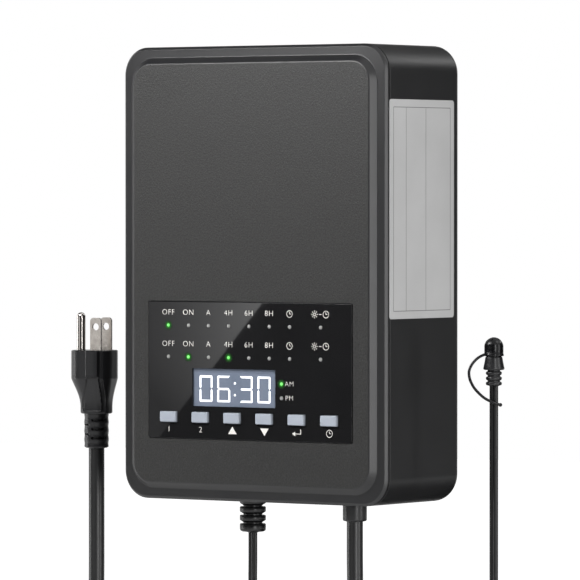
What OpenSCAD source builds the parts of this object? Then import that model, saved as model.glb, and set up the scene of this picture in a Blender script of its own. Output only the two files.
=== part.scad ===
// Low voltage landscape transformer: a wall-hung box with a timer panel, a mains lead and a light sensor.
// Millimetres, +Z up. The front faces -Y, and +X is to the right of someone who faces it.
// The origin lies on the back plane, midway between the two keyhole seats that hang the box on its wall.

/* [Box] */
// Width of the box
box_w = 167; // [160:1:185]
// Height of the box
box_h = 236; // [230:1:260]
// Depth from the back plane to the face of the cover's flange
box_d = 69; // [66:1:80]
// Corner radius of the box, seen from the front
corner_r = 14.5; // [10:0.5:16]
// Radius that rounds the back edges
back_r = 5.5; // [4:0.5:9]
// Side wall of the rear housing
wall_t = 2.6; // [2:0.1:3.2]
// Back wall of the rear housing
back_t = 3.2; // [2.4:0.1:4]

/* [Front cover] */
// Thickness of the cover's rim, seen from the side
rim_t = 2.6; // [2:0.1:3.4]
// Bevel along the rim's outer edge
rim_bevel = 1.5; // [0.8:0.1:1.8]
// Flat flange between the bevel's outer edge and the raised centre
flange_w = 5.6; // [4.5:0.1:7]
// Height of the raised centre above the flange
raise_h = 3.3; // [2:0.1:4]
// Slope of the raised centre's edge, seen from the front
raise_run = 3.2; // [2:0.1:4]
// Corner radius at the foot of the raised centre
raise_r = 14; // [9:0.5:15]
// Thickness of the raised centre's plate
plate_t = 2.8; // [2.4:0.1:3.4]
// Thickness of the pressed gasket that shows as a dark seam
gasket_t = 0.6; // [0.4:0.1:1]

/* [Wall mount] */
// Distance between the two keyhole seats
key_span = 100; // [90:1:110]
// Drop from the top of the box to the keyhole seats
key_drop = 36; // [30:1:44]
// Radius of the narrow end of a keyhole, where the wall screw's neck sits
key_seat_r = 2.6; // [2:0.1:3]
// Radius of the round entry of a keyhole, which the screw's head passes
key_head_r = 5; // [4.5:0.1:5.5]
// Distance from the seat down to the centre of the entry
key_slide = 11; // [9:0.5:13]

/* [Control panel] */
// Width of the glossy panel
panel_w = 129; // [126:1:132]
// Height of the glossy panel
panel_h = 71; // [69:1:73]
// Distance from the bottom of the box to the bottom of the panel
panel_up = 32.2; // [30:0.2:36]
// Thickness of the glossy panel
panel_t = 1.6; // [1.2:0.1:1.8]
// Width of the display window
window_w = 53; // [52:0.5:54]
// Height of the display window
window_h = 19.8; // [19:0.2:21]
// Height of a clock digit
digit_h = 13.8; // [12:0.2:15]
// Width of a clock digit
digit_w = 8.9; // [7:0.1:9.4]
// Width of one stroke of a digit
stroke_w = 1.3; // [1:0.1:2]
// Pitch of the status lights along a row, as a share of the panel's width
led_pitch_share = 0.1; // [0.094:0.001:0.102]
// Pitch of the two rows of status lights
led_row_pitch = 16.4; // [15:0.1:17]
// Radius of a light's tip
led_tip_r = 1; // [0.8:0.1:1.1]
// Distance from the panel's sides to the middles of the first and last buttons
button_margin = 13.5; // [11:0.1:16]
// Width of a button's cap
button_w = 10.2; // [8:0.1:11]
// Height of a button's cap
button_h = 5.5; // [5:0.1:6]
// How far a cap stands out of the panel
button_out = 1.6; // [1:0.1:1.8]
// How far a button travels when it is pressed
button_travel = 0.8; // [0.5:0.1:0.9]

/* [Transformer core] */
// Outer diameter of the wound ring
toroid_od = 108; // [100:1:112]
// Diameter of the hole through the wound ring
toroid_id = 38; // [34:1:42]
// Thickness of the wound ring, front to back
toroid_h = 42; // [38:1:44]
// Height of the ring's centre above the middle of the box
toroid_up = 52; // [50:1:54]
// Thickness of each layer of winding
winding_t = 5; // [4:0.5:6]

/* [Terminals] */
// Pitch of the four low voltage terminals
terminal_pitch = 8; // [7.6:0.1:8.2]
// How far a terminal's screw and clamp back out
clamp_travel = 3; // [2:0.1:3.6]
// Width of the terminal bay
bay_w = 41; // [41:0.5:42]
// Depth of the terminal bay, front to back
bay_d = 30; // [24:0.5:32]
// Height of the terminal bay above the bottom of the box
bay_h = 24; // [22:0.5:26]

/* [Mains lead and plug] */
// Diameter of the mains lead
lead_d = 8.5; // [7.8:0.1:8.8]
// Width of the plug, across its two blades
plug_wide = 22; // [21:0.2:24]
// Length of the plug's face, from the ground pin's side to the other
plug_long = 23.4; // [22.6:0.2:25]
// Height of the plug's moulded body
plug_tall = 34; // [30:0.5:38]
// Width of a blade
blade_w = 6.3; // [6:0.05:6.4]
// Thickness of a blade
blade_t = 1.5; // [1.4:0.02:1.6]
// Length of a blade outside the body
blade_l = 17.4; // [16:0.1:18]
// Distance between the blades' middles
blade_gap = 12.7; // [12.5:0.05:12.9]
// Diameter of the ground pin
pin_d = 4.8; // [4.6:0.02:4.82]
// Length of the ground pin outside the body
pin_l = 20.2; // [19:0.1:21.4]
// Distance from the ground pin to the line of the blades
pin_offset = 11.9; // [11.7:0.05:12.1]

/* [Light sensor and its cord] */
// Width of the flat two-core cord
flat_w = 5.2; // [4.6:0.1:5.4]
// Thickness of the flat cord
flat_t = 2.6; // [2.2:0.1:2.7]
// Outer diameter of the sensor's cap
cap_d = 10; // [9.6:0.1:10.6]
// Height of the sensor's cap
cap_h = 9.6; // [9:0.1:11]
// How far the cap slides before it comes off the sensor
cap_travel = 6.5; // [4:0.1:6.5]

/* [Hidden] */
$fn = 64;

// Overrun of every cut, and the clearances of every fit
over = 1;
fit_gap = 0.3;
run_gap = 0.05;
touch_gap = 0.15;

// Planes and heights that the pieces share
z_top = key_drop;
z_bot = z_top - box_h;
z_mid = z_bot + box_h / 2;
y_flange = -box_d;
y_face = -(box_d + raise_h);
y_rim = -(box_d - rim_t);
y_inner = y_face + plate_t;
housing_d = box_d - rim_t - gasket_t;
cavity_w = box_w - 2 * wall_t;
cavity_h = box_h - 2 * wall_t;
cavity_r = corner_r - wall_t;
mid_y = -35;

// Cover: locating lip, hollow and gasket
lip_t = 1.8;
lip_l = 4;
hollow_margin = 0.8;
raise_w = box_w - 2 * flange_w;
raise_tall = box_h - 2 * flange_w;
hollow_w = raise_w - 2 * (raise_run + hollow_margin);
hollow_h = raise_tall - 2 * (raise_run + hollow_margin);
hollow_r = raise_r - raise_run - hollow_margin;
gasket_inset = 0.8;

// Long cover screws, the pillars that take them and the cover's bosses
pillar_inset = 9;
pillar_r = 4.6;
pillar_x = cavity_w / 2 - pillar_inset;
pillar_z = cavity_h / 2 - pillar_inset;
pillar_front = -y_rim - lip_l - fit_gap;
gusset_t = 1.6;
screw_r = 1.6;
screw_hole_r = screw_r + touch_gap;
screw_head_r = 3.2;
screw_head_t = 2.4;
screw_sink = 46;
head_gap = 0.4;
screw_sink_r = screw_head_r + head_gap;
screw_end_gap = 1.2;
slot_w = 0.9;
slot_deep = 1.1;
cross_share = 0.7;

// Keyhole pockets, closed towards the inside
pocket_gap = 0.6;
pocket_deep = 4.5;
pocket_wall = 1.4;
pocket_side = 1.8;

// Small screws that hold the boards and the terminal block
small_r = 1.3;
thread_gap = 0.1;
small_hole_r = small_r + thread_gap;
small_head_r = 2.7;
small_head_t = 1.8;
small_l = 8;
post_r = 3;

// Panel: recess, places of the lights, the window and the buttons
recess_d = 1.4;
panel_gap = 0.25;
panel_r = 0.8;
panel_z = z_bot + panel_up + panel_h / 2;
led_margin = 12.7;
led_x = -panel_w / 2 + led_margin;
led_pitch = panel_w * led_pitch_share;
led_up = 23.3;
led_z = panel_z + led_up;
led_count = 7;
led_last_margin = 19.5;
led_last_x = panel_w / 2 - led_last_margin;
led_gap = 0.15;
led_body_r = 1.5;
noon_x = 20.5;
noon_drop = 6.1;
noon_z = panel_z - noon_drop;
noon_pitch = 7.3;
window_x = -9.9;
window_drop = 8.8;
window_z = panel_z - window_drop;
button_shift = -0.4;
button_x = button_shift - panel_w / 2 + button_margin;
button_pitch = (panel_w - 2 * button_margin) / 5;
button_drop = 24.4;
button_z = panel_z - button_drop;
button_side = 0.3;
button_lip = 1;
button_lip_t = 1.2;
button_back_gap = 0.3;
button_edge_r = 0.7;
stem_r = 1.6;
stem_gap = 0.3;

// Control board behind the panel
board_t = 1.6;
board_side = 8.4;
board_w = hollow_w - 2 * board_side;
board_short = 5;
board_h = panel_h - board_short;
board_gap = 8.5;
y_board = y_inner + board_gap;
board_post_edge = 3.6;
board_post_x = board_w / 2 - board_post_edge;
board_post_z = board_h / 2 - board_post_edge;
switch_w = 6;
switch_h = 4;
switch_well = 2.4;
y_button_lip = y_inner + button_back_gap;
y_stem_end = y_board - switch_h + switch_well - button_travel - stem_gap;
display_rim = 1.2;
display_lap = 0.5;
display_sink = 0.8;
glass_t = 0.15;
digit_pitch = 11.6;
colon_gap = 2.8;
colon_r = 0.75;
chip_w = 14;
chip_t = 1.6;
chip_x = 34;
header_w = 16;
header_t = 5;
header_d = 6;
header_x = -34;
header_drop = 6;
header_z = panel_z + board_h / 2 - header_drop;
ribbon_w = 13;
ribbon_t = 0.9;
ribbon_r = 26;
ribbon_steps = 16;

// Wound ring: platform, pads, washer and bolt
platform_r = 30;
pad_t = 2;
platform_d = 8;
toroid_z = z_mid + toroid_up;
toroid_y = -(platform_d + pad_t);
toroid_front = toroid_y - toroid_h;
tape_t = 0.6;
layer_gap = 0.1;
round_r = 5;
washer_r = 34;
washer_t = 2;
washer_dish = 3;
bolt_r = 4;
bolt_gap = 0.3;
bolt_stop = 1;
bolt_head_r = 6.5;
bolt_head_t = 4;
insert_r = 6;
insert_l = 7;

// Power board on the back wall
power_w = 118;
power_h = 70;
power_drop = 46;
power_z = z_mid - power_drop;
power_off = 8.8;
y_power = -(back_t + power_off);
power_post_edge = 5;
power_post_x = power_w / 2 - power_post_edge;
power_post_z = power_h / 2 - power_post_edge;
relay_w = 16;
relay_l = 20;
relay_h = 15.5;
relay_x = 18;
relay_pitch = 20;
relay_drop = 10;
relay_z = power_z - relay_drop;
breaker_w = 7;
breaker_l = 15;
breaker_h = 12;
breaker_pitch = 12;
breaker_x = 2;
fuse_r = 2.6;
fuse_l = 20;
fuse_up = 6;
fuse_x = -32;
fuse_rise = 4;
fuse_z = power_z + fuse_rise;
fuse_clip_w = 6;
fuse_clip_h = 9;
fuse_clip_t = 5;
fuse_cap_l = 5;
cap_can_r = 6.3;
cap_can_h = 20;
cap_can_x = -46;
cap_can_drop = 18;
cap_can_z = power_z - cap_can_drop;
spade_count = 4;
spade_pitch = 6;
spade_drop = 8;
spade_z = power_z + power_h / 2 - spade_drop;
spade_w = 6.3;
spade_h = 8;
spade_t = 0.8;

// Terminal bay and its block
bay_x = 7.5;
bay_wall = 1.6;
bay_roof = 6;
block_drop = 12;
block_d = 15;
block_flange = 3;
block_flange_d = 22;
block_gap = 0.2;
block_side = 0.3;
block_w = 4 * terminal_pitch + 2 * block_side;
block_screw_x = 19.2;
clamp_w = 7;
clamp_d = 10;
clamp_t = 1.2;
contact_t = 1;
contact_rise = 7;
terminal_r = 1.75;
terminal_grip = 4;
terminal_l = clamp_travel + terminal_grip;
terminal_head_r = 3.1;
terminal_head_t = 2.4;

// Bushing of the mains lead and relief of the sensor cord, both in the bottom wall
lead_x = 40.5;
bushing_r = 6.3;
bushing_l = 10;
bushing_edge = 0.8;
neck_r = 5.2;
neck_l = 8;
nut_wide = 15;
nut_t = 3.4;
relief_x = -24.5;
relief_r = 6.9;
relief_l = 17.8;
relief_core_r = 4.9;
relief_ribs = 4;
relief_slot = 1;
relief_lock_r = 7;
relief_lock_t = 2.2;
wire_d = 2.2;
thin_wire_d = 1.4;
wire_pitch = 3;
wire_bow = 30;
wire_side = 5;
wire_sides = 6;
wire_steps = 8;

// Blank label plate on the right side
label_w = 59;
label_h = 112;
label_t = 0.3;
label_y = -37.1;
label_up = 33.6;
label_z = z_mid + label_up;

// Plug, turned about its cord, with the ground pin to the left
plug_x = -127.5;
plug_turn = 11.4;
plug_top = -124.1;
plug_shift = -1.15;
plug_r = 8.5;
plug_straight = 15;
plug_waist = 7;
plug_slice = 0.2;
plug_end_long = 16.4;
plug_end_wide = 14.6;
plug_end_r = 6;
plug_mid_share = 0.36;
plug_relief_r = 6.5;
plug_relief_l = 18.3;
plug_slots = 3;
plug_slot_h = 1.3;
plug_slot_r = 5.2;
blade_x = 2.8;
blade_root = 8;
blade_tip_r = 1.9;
blade_hole_r = 1.95;
blade_hole_up = 12.6;
plug_end = plug_top - plug_tall - plug_relief_l;

// Light sensor, turned about its cord
sensor_x = 126.4;
sensor_turn = 35;
sensor_top = -114;
cap_wall = 1.2;
cap_foot = sensor_top - cap_h;
nose_r = cap_d / 2 - cap_wall - run_gap;
nose_spare = 0.5;
nose_h = cap_travel - nose_spare;
skirt_top = cap_foot - touch_gap;
skirt_r = 4.1;
skirt_foot_r = 5.4;
skirt_h = 6.2;
skirt_lip = 0.7;
tail_r = 3.2;
tail_rib_r = 4.1;
tail_rib_t = 1.7;
tail_ribs = 3;
tail_l = 7.9;
cell_r = 2.6;
cell_t = 1.4;
sensor_end = skirt_top - skirt_h - skirt_lip - tail_l;
strap_d = 1.3;
strap_end_r = 0.95;

// Centre lines of the free cords: points chosen by hand, from the box downwards and up again
lead_down = [
    [40.5, -35, -210], [40.5, -35, -228], [40.5, -35, -247], [38.5, -34.6, -260], [32, -33.8, -271],
    [23.5, -32.8, -280.5], [14.5, -31.8, -289.5], [9, -31, -301]
];
lead_up = [
    [-104.5, -39, -302.5], [-109, -38.3, -292.5], [-115, -37.2, -284], [-121.5, -36.2, -276],
    [-126, -35.4, -266], [-127.5, -35, -255], [-127.5, -35, -236], [-127.5, -35, -217],
    [-127.5, -35, -197]
];
flat_down = [
    [-24.5, -35, -217.8], [-24.5, -35, -232], [-24.5, -35, -246], [-22.5, -35.6, -257],
    [-16.5, -37, -266.5], [-7, -39, -273], [3, -40.6, -278], [12.5, -41.8, -282.5], [22, -42.8, -289],
    [28, -43.5, -298.5], [30, -43.8, -309.5]
];
flat_up = [
    [96.5, -37.8, -308.5], [104, -37.2, -299.5], [110.5, -36.6, -295], [117, -36, -290.5],
    [124, -35.3, -281.5], [126.4, -35, -270.5], [126.4, -35, -257], [126.4, -35, -243],
    [126.4, -35, -229], [126.4, -35, -215], [126.4, -35, -201], [126.4, -35, -187],
    [126.4, -35, -173], [126.4, -35, -159], [126.4, -35, -147]
];
// The cap's strap, about the sensor's axis: X to the right, Y away, Z from the sensor's top
strap_points = [
    [-4.7, 0, -8.8], [-6.9, -0.1, -9.8], [-9, -0.3, -11.3], [-11.1, -0.5, -13.7], [-12.4, -0.8, -16.4],
    [-12.7, -1.2, -18.5], [-12.2, -1.6, -21.5], [-10.5, -2.1, -25.1], [-8.1, -2.6, -28],
    [-5.1, -3, -30.7], [-1.9, -3.2, -32.5], [0.5, -3.2, -33.5], [3.2, -3, -34.3]
];

// Spare cord, tied in two coils below the box: centre, outer radius, turns and pitches
coil_z = -330;
loop_rings = 24;
coil_sides = 6;
lead_coil_x = -48;
lead_coil_r = 55;
lead_turns = 4.5;
loop_space = 0.8;
layer_space = 0.6;
lead_pitch = lead_d + loop_space;
lead_layer = lead_d + layer_space;
flat_coil_x = 62;
flat_coil_y = -41;
flat_coil_r = 32;
flat_turns = 7.5;
flat_pitch = flat_t + layer_space;
flat_layer = flat_w + layer_space;
climb_share = 0.25;
tie_t = 1.2;
tie_w = 5;
tie_gap = 0.4;
tie_head = 6;
tie_turn_shares = [0.62, 0.88];

// Which lights of the two rows are lit, and which strokes each digit shows
lit_places = [[0, 0], [1, 1], [1, 3]];
shown_digits = [
    [1, 1, 1, 1, 1, 1, 0], [1, 0, 1, 1, 1, 1, 1], [1, 1, 1, 1, 0, 0, 1], [1, 1, 1, 1, 1, 1, 0]
];

// Vectors, routes and rings
function unit(v) = v / norm(v);
function tangent(p, i) =
    let (n = len(p) - 1)
    i == 0 ? unit(p[1] - p[0])
    : i == n ? unit(p[n] - p[n - 1])
    : unit(unit(p[i + 1] - p[i]) + unit(p[i] - p[i - 1]));
function between(a, b, share) = a + (b - a) * share;
function clamp(v) = max(0, min(1, v));
function route_length(p) = len(p) < 2 ? 0 : len_sum([for (i = [1:len(p) - 1]) norm(p[i] - p[i - 1])]);
function len_sum(v) = v * [for (i = v) 1];

// One ring of an oval section, square to the route; turn swings its wide side about the route
function ring(p, t, ref, w, h, turn, sides) =
    let (a = unit(cross(ref, t)), b = cross(t, a))
    [for (k = [0:sides - 1])
        let (f = 360 * k / sides, u = w / 2 * cos(f), v = h / 2 * sin(f))
        p + a * (u * cos(turn) - v * sin(turn)) + b * (u * sin(turn) + v * cos(turn))];
function rings(p, ref, w, h, turns, sides) =
    [for (i = [0:len(p) - 1]) ring(p[i], tangent(p, i), ref, w, h, turns[i], sides)];

// A closed tube along a route, with one swing angle for each of its points
module tube(p, ref, w, h, turns, sides) {
    r = rings(p, ref, w, h, turns, sides);
    last = len(p) - 1;
    polyhedron(
        points = [for (one = r) each one],
        faces = [
            for (i = [0:last - 1], k = [0:sides - 1]) let (m = (k + 1) % sides, s = i * sides)
                each [[s + k, s + sides + k, s + sides + m], [s + k, s + sides + m, s + m]],
            for (k = [1:sides - 2]) [0, k, k + 1],
            for (k = [1:sides - 2]) [last * sides, last * sides + k + 1, last * sides + k]
        ]
    );
}
function same(p, turn) = [for (i = p) turn];
function swing(p, first, last, from, to) =
    [for (i = [0:len(p) - 1]) between(from, to, clamp((i - first) / (last - first)))];

// A coil in the X-Z plane: it winds in, climbs a layer where the spiral reverses, and winds out again
function coil_radius(q, r, pitch, turns) = r - pitch * min(q, turns - q);
function coil_climb(q, turns) = clamp((q - turns / 2 + climb_share) / (2 * climb_share));
function coil_point(q, x, y, r, pitch, layer, turns, start, way) =
    let (f = start + way * 360 * q, s = coil_radius(q, r, pitch, turns), c = coil_climb(q, turns))
    [x + s * cos(f), y - layer / 2 * way * cos(180 * c), coil_z + s * sin(f)];
function coil_turns(x, y, r, pitch, layer, turns, start, way) =
    [for (i = [0:turns * loop_rings]) coil_point(i / loop_rings, x, y, r, pitch, layer, turns, start, way)];
function with_ends(p, straight) =
    concat([p[0] + [0, 0, straight]], p, [p[len(p) - 1] + [0, 0, straight]]);

// Least distance between ring points of loops that lie beside or on each other
function coil_gap(r) =
    min([for (i = [1:len(r) - 2], k = [1:ceil(len(r) / loop_rings)], e = [-1, 0, 1])
        let (j = i + k * loop_rings + e)
        if (j < len(r) - 1) for (a = r[i], b = r[j]) norm(a - b)]);

lead_loops = with_ends(
    coil_turns(lead_coil_x, mid_y, lead_coil_r, lead_pitch, lead_layer, lead_turns, 0, -1), lead_d);
flat_loops = with_ends(
    coil_turns(flat_coil_x, flat_coil_y, flat_coil_r, flat_pitch, flat_layer, flat_turns, 180, 1), flat_w);
// A coil's end with the point above it, so that the free cord meets the coil squarely
function way_in(loops, straight) = [loops[0] + [0, 0, straight], loops[0]];
function way_out(loops, straight) = let (e = loops[len(loops) - 1]) [e, e + [0, 0, straight]];
lead_out_route = concat(lead_down, way_in(lead_loops, lead_d));
lead_up_route = concat(way_out(lead_loops, lead_d), lead_up, [[plug_x, mid_y, plug_end]]);
flat_out_route = concat(flat_down, way_in(flat_loops, flat_w));
flat_up_route = concat(way_out(flat_loops, flat_w), flat_up, [[sensor_x, mid_y, sensor_end]]);

// Shared shapes
module toward_front(y_back, depth) {
    translate([0, y_back, 0]) rotate([90, 0, 0]) linear_extrude(height = depth) children();
}
module rounded_rect(w, h, r) {
    square([w - 2 * r, h], center = true);
    square([w, h - 2 * r], center = true);
    for (sx = [-1, 1], sz = [-1, 1]) translate([sx * (w / 2 - r), sz * (h / 2 - r)]) circle(r = r);
}
// A plate parallel to the front, centred on the box, whose back lies at y_back
module slab(w, h, r, y_back, depth) {
    translate([0, 0, z_mid]) toward_front(y_back, depth) rounded_rect(w, h, r);
}
// The same plate with its front edge drawn in all round by inset
module bevel_slab(w, h, r, y_back, depth, inset) {
    translate([0, y_back, z_mid]) {
        linear_extrude(height = h - 2 * r, center = true) trapezium(w, depth, inset);
        rotate([0, 90, 0]) linear_extrude(height = w - 2 * r, center = true) trapezium(h, depth, inset);
        for (sx = [-1, 1], sz = [-1, 1])
            translate([sx * (w / 2 - r), 0, sz * (h / 2 - r)])
                rotate([90, 0, 0]) cylinder(h = depth, r1 = r, r2 = r - inset);
    }
}
module trapezium(span, depth, inset) {
    polygon([
        [-span / 2, 0], [span / 2, 0], [span / 2 - inset, -depth], [-span / 2 + inset, -depth]
    ]);
}
// Section of a block whose two back corners are rounded
module back_rounded(span, depth, r) {
    translate([-span / 2, -depth]) square([span, depth - r]);
    translate([-span / 2 + r, -depth]) square([span - 2 * r, depth]);
    for (s = [-1, 1]) translate([s * (span / 2 - r), -r]) circle(r = r);
}
module back_block(w, h, depth, r, edge_r) {
    translate([0, 0, z_mid]) intersection() {
        toward_front(0, depth) rounded_rect(w, h, r);
        linear_extrude(height = h + over, center = true) back_rounded(w, depth, edge_r);
        rotate([0, 90, 0]) linear_extrude(height = w + over, center = true) back_rounded(h, depth, edge_r);
    }
}
// A rod along Y from y_back towards the front
module rod(x, z, y_back, depth, r) {
    translate([x, y_back, z]) rotate([90, 0, 0]) cylinder(h = depth, r = r);
}
// A box whose back face lies at y_back, centred on x and z
module block(x, z, w, h, y_back, depth) {
    translate([x - w / 2, y_back - depth, z - h / 2]) cube([w, depth, h]);
}
module keyhole_outline(grow) {
    circle(r = key_seat_r + grow);
    translate([0, -key_slide]) circle(r = key_head_r + grow);
    translate([-key_seat_r - grow, -key_slide]) square([2 * (key_seat_r + grow), key_slide]);
}
module pocket_outline(grow) {
    for (z = [0, -key_slide]) translate([0, z]) circle(r = key_head_r + grow);
    translate([-key_head_r - grow, -key_slide]) square([2 * (key_head_r + grow), key_slide]);
}
// A small cross-slotted screw along +Z: the head's seat is at the origin and the shank runs down
module small_screw() {
    translate([0, 0, -small_l]) cylinder(h = small_l, r = small_r);
    difference() {
        cylinder(h = small_head_t, r = small_head_r);
        for (a = [0, 90]) rotate([0, 0, a])
            translate([0, 0, small_head_t]) cube(
                [2 * small_head_r * cross_share, slot_w, 2 * slot_deep], center = true);
    }
}

// Rear housing with its pillars, posts, keyhole pockets, ring platform and terminal bay
module rear_housing() {
    color("#2b2b2c") difference() {
        union() {
            difference() {
                back_block(box_w, box_h, housing_d, corner_r, back_r);
                translate([0, -back_t, 0])
                    back_block(cavity_w, cavity_h, housing_d + over, cavity_r, back_r - wall_t);
            }
            for (sx = [-1, 1], sz = [-1, 1]) {
                rod(sx * pillar_x, z_mid + sz * pillar_z, -back_t / 2, pillar_front - back_t / 2, pillar_r);
                block(sx * (pillar_x + pillar_inset / 2), z_mid + sz * pillar_z, pillar_inset + wall_t,
                    gusset_t, -back_t / 2, pillar_front - back_t / 2);
            }
            for (s = [-1, 1]) translate([s * key_span / 2, 0, 0])
                toward_front(-back_t / 2, back_t / 2 + pocket_deep + pocket_wall)
                    pocket_outline(pocket_side);
            rod(0, toroid_z, -back_t / 2, platform_d - back_t / 2, platform_r);
            for (sx = [-1, 1], sz = [-1, 1])
                rod(sx * power_post_x, power_z + sz * power_post_z, -back_t / 2, power_off + back_t / 2,
                    post_r);
            bay_shell(2 * bay_wall, 0);
        }
        for (s = [-1, 1]) translate([s * key_span / 2, 0, 0]) {
            toward_front(over, back_t + 2 * over) keyhole_outline(0);
            toward_front(-back_t, pocket_deep) pocket_outline(pocket_gap);
        }
        for (sx = [-1, 1], sz = [-1, 1]) {
            rod(sx * pillar_x, z_mid + sz * pillar_z, over, screw_sink + over, screw_sink_r);
            rod(sx * pillar_x, z_mid + sz * pillar_z, over, pillar_front + 2 * over, screw_hole_r);
        }
        for (sx = [-1, 1], sz = [-1, 1])
            rod(sx * power_post_x, power_z + sz * power_post_z, y_power + small_l, small_l + over,
                small_hole_r);
        rod(0, toroid_z, -(platform_d - insert_l), insert_l + over, insert_r);
        for (x = [lead_x, relief_x])
            translate([x, mid_y, z_bot - over]) cylinder(h = wall_t + 2 * over, r = neck_r + touch_gap);
        translate([bay_x - bay_w / 2, mid_y - bay_d / 2, z_bot - over])
            cube([bay_w, bay_d, bay_h - bay_roof + over]);
        translate([bay_x - block_w / 2 - block_gap, mid_y - block_d / 2 - block_gap, z_bot])
            cube([block_w + 2 * block_gap, block_d + 2 * block_gap, bay_h + over]);
        for (s = [-1, 1]) translate([bay_x + s * block_screw_x, mid_y, z_bot + bay_h - bay_roof - over])
            cylinder(h = bay_roof + 2 * over, r = small_hole_r);
    }
}
module bay_shell(grow, lift) {
    translate([bay_x - (bay_w + grow) / 2, mid_y - (bay_d + grow) / 2, z_bot + wall_t / 2 + lift])
        cube([bay_w + grow, bay_d + grow, bay_h - wall_t / 2]);
}

// Front cover: flange, raised centre, locating lip, bosses, posts and the openings of the panel
module front_cover() {
    color("#4a4a4b") difference() {
        union() {
            difference() {
                union() {
                    slab(box_w, box_h, corner_r, y_rim, rim_t - rim_bevel);
                    bevel_slab(box_w, box_h, corner_r, y_rim - rim_t + rim_bevel, rim_bevel, rim_bevel);
                    bevel_slab(raise_w, raise_tall, raise_r, y_flange, raise_h, raise_run);
                    slab(cavity_w - 2 * fit_gap, cavity_h - 2 * fit_gap, cavity_r - fit_gap,
                        y_rim + lip_l, lip_l + rim_t / 2);
                }
                slab(cavity_w - 2 * (fit_gap + lip_t), cavity_h - 2 * (fit_gap + lip_t),
                    cavity_r - fit_gap - lip_t, y_rim + lip_l + over, lip_l + over);
                slab(hollow_w, hollow_h, hollow_r, y_rim + over, over + y_rim - y_inner);
            }
            intersection() {
                for (sx = [-1, 1], sz = [-1, 1])
                    rod(sx * pillar_x, z_mid + sz * pillar_z, -(pillar_front + fit_gap),
                        -y_inner - pillar_front - fit_gap + plate_t / 2, pillar_r);
                boss_room();
            }
            for (sx = [-1, 1], sz = [-1, 1])
                rod(sx * board_post_x, panel_z + sz * board_post_z, y_board, board_gap + plate_t / 2,
                    post_r);
        }
        translate([0, 0, panel_z]) toward_front(y_face + recess_d, recess_d + over)
            rounded_rect(panel_w + 2 * panel_gap, panel_h + 2 * panel_gap, panel_r + panel_gap);
        panel_openings(y_inner + over, plate_t + over, 0);
        for (sx = [-1, 1], sz = [-1, 1]) {
            rod(sx * pillar_x, z_mid + sz * pillar_z, -(pillar_front - over),
                -y_inner - pillar_front + over, screw_hole_r);
            rod(sx * board_post_x, panel_z + sz * board_post_z, y_board + over,
                small_l - board_t + over, small_hole_r);
        }
    }
}
// Where the bosses may stand: behind half of the flange's thickness, and deeper inside the hollow
module boss_room() {
    slab(box_w, box_h, corner_r, y_rim + lip_l + over, lip_l + over + rim_t / 2);
    slab(hollow_w + hollow_margin, hollow_h + hollow_margin, hollow_r + hollow_margin / 2,
        y_rim, y_rim - y_inner + plate_t / 2);
}
// The holes that the panel and the cover share: lights, window and buttons
module panel_openings(y_back, depth, grow) {
    for (p = concat(row_places(), noon_places()))
        rod(p[0], p[1], y_back, depth, led_tip_r + led_gap + grow);
    block(window_x, window_z, window_w + 2 * grow, window_h + 2 * grow, y_back, depth);
    for (i = [0:5])
        block(button_x + i * button_pitch, button_z, button_w + 2 * button_side, button_h + 2 * button_side,
            y_back, depth);
}
function led_place(row, i) =
    [i < led_count ? led_x + i * led_pitch : led_last_x, led_z - row * led_row_pitch];
function row_places() = [for (row = [0, 1], i = [0:led_count]) led_place(row, i)];
function noon_places() = [for (i = [0, 1]) [noon_x, noon_z - i * noon_pitch]];
function is_lit(row, i) = len([for (p = lit_places) if (p == [row, i]) 1]) > 0;

module cover_gasket() {
    color("#161616") difference() {
        slab(box_w - 2 * gasket_inset, box_h - 2 * gasket_inset, corner_r - gasket_inset,
            y_rim + gasket_t, gasket_t);
        slab(cavity_w, cavity_h, cavity_r, y_rim + gasket_t + over, gasket_t + 2 * over);
    }
}
module cover_screws() {
    shank = -y_inner - screw_sink - screw_end_gap;
    color("#9a9da0") for (sx = [-1, 1], sz = [-1, 1])
        translate([sx * pillar_x, -screw_sink, z_mid + sz * pillar_z]) rotate([90, 0, 0]) {
            cylinder(h = shank, r = screw_r);
            difference() {
                translate([0, 0, -screw_head_t]) cylinder(h = screw_head_t, r = screw_head_r);
                for (a = [0, 90]) rotate([0, 0, a]) translate([0, 0, -screw_head_t])
                    cube([2 * screw_head_r * cross_share, slot_w, 2 * slot_deep], center = true);
            }
        }
}

// Glossy panel with its openings
module panel_overlay() {
    color("#1c1c1d") difference() {
        translate([0, 0, panel_z]) toward_front(y_face + recess_d, panel_t)
            rounded_rect(panel_w, panel_h, panel_r);
        panel_openings(y_face + recess_d + over, panel_t + 2 * over, 0);
    }
}
module display_module() {
    back = y_inner + button_back_gap;
    color("#6b748c") {
        block(window_x, window_z, window_w + 2 * display_rim, window_h + 2 * display_rim,
            y_board, y_board - back);
        block(window_x, window_z, window_w - 2 * touch_gap, window_h - 2 * touch_gap,
            back + display_lap, back + display_lap - y_face - display_sink);
    }
}
function stroke_places() = let (w = digit_w / 2 - stroke_w / 2, h = digit_h / 2 - stroke_w / 2) [
    [0, h, 0], [w, h / 2, 90], [w, -h / 2, 90], [0, -h, 0], [-w, -h / 2, 90], [-w, h / 2, 90], [0, 0, 0]
];
module stroke(long) {
    square([long - stroke_w, stroke_w], center = true);
}
module digit(shown) {
    for (i = [0:6]) if (shown[i] == 1) let (p = stroke_places()[i])
        translate([p[0], p[1]]) rotate(p[2]) stroke(p[2] == 0 ? digit_w : digit_h / 2 + stroke_w / 2);
}
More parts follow.
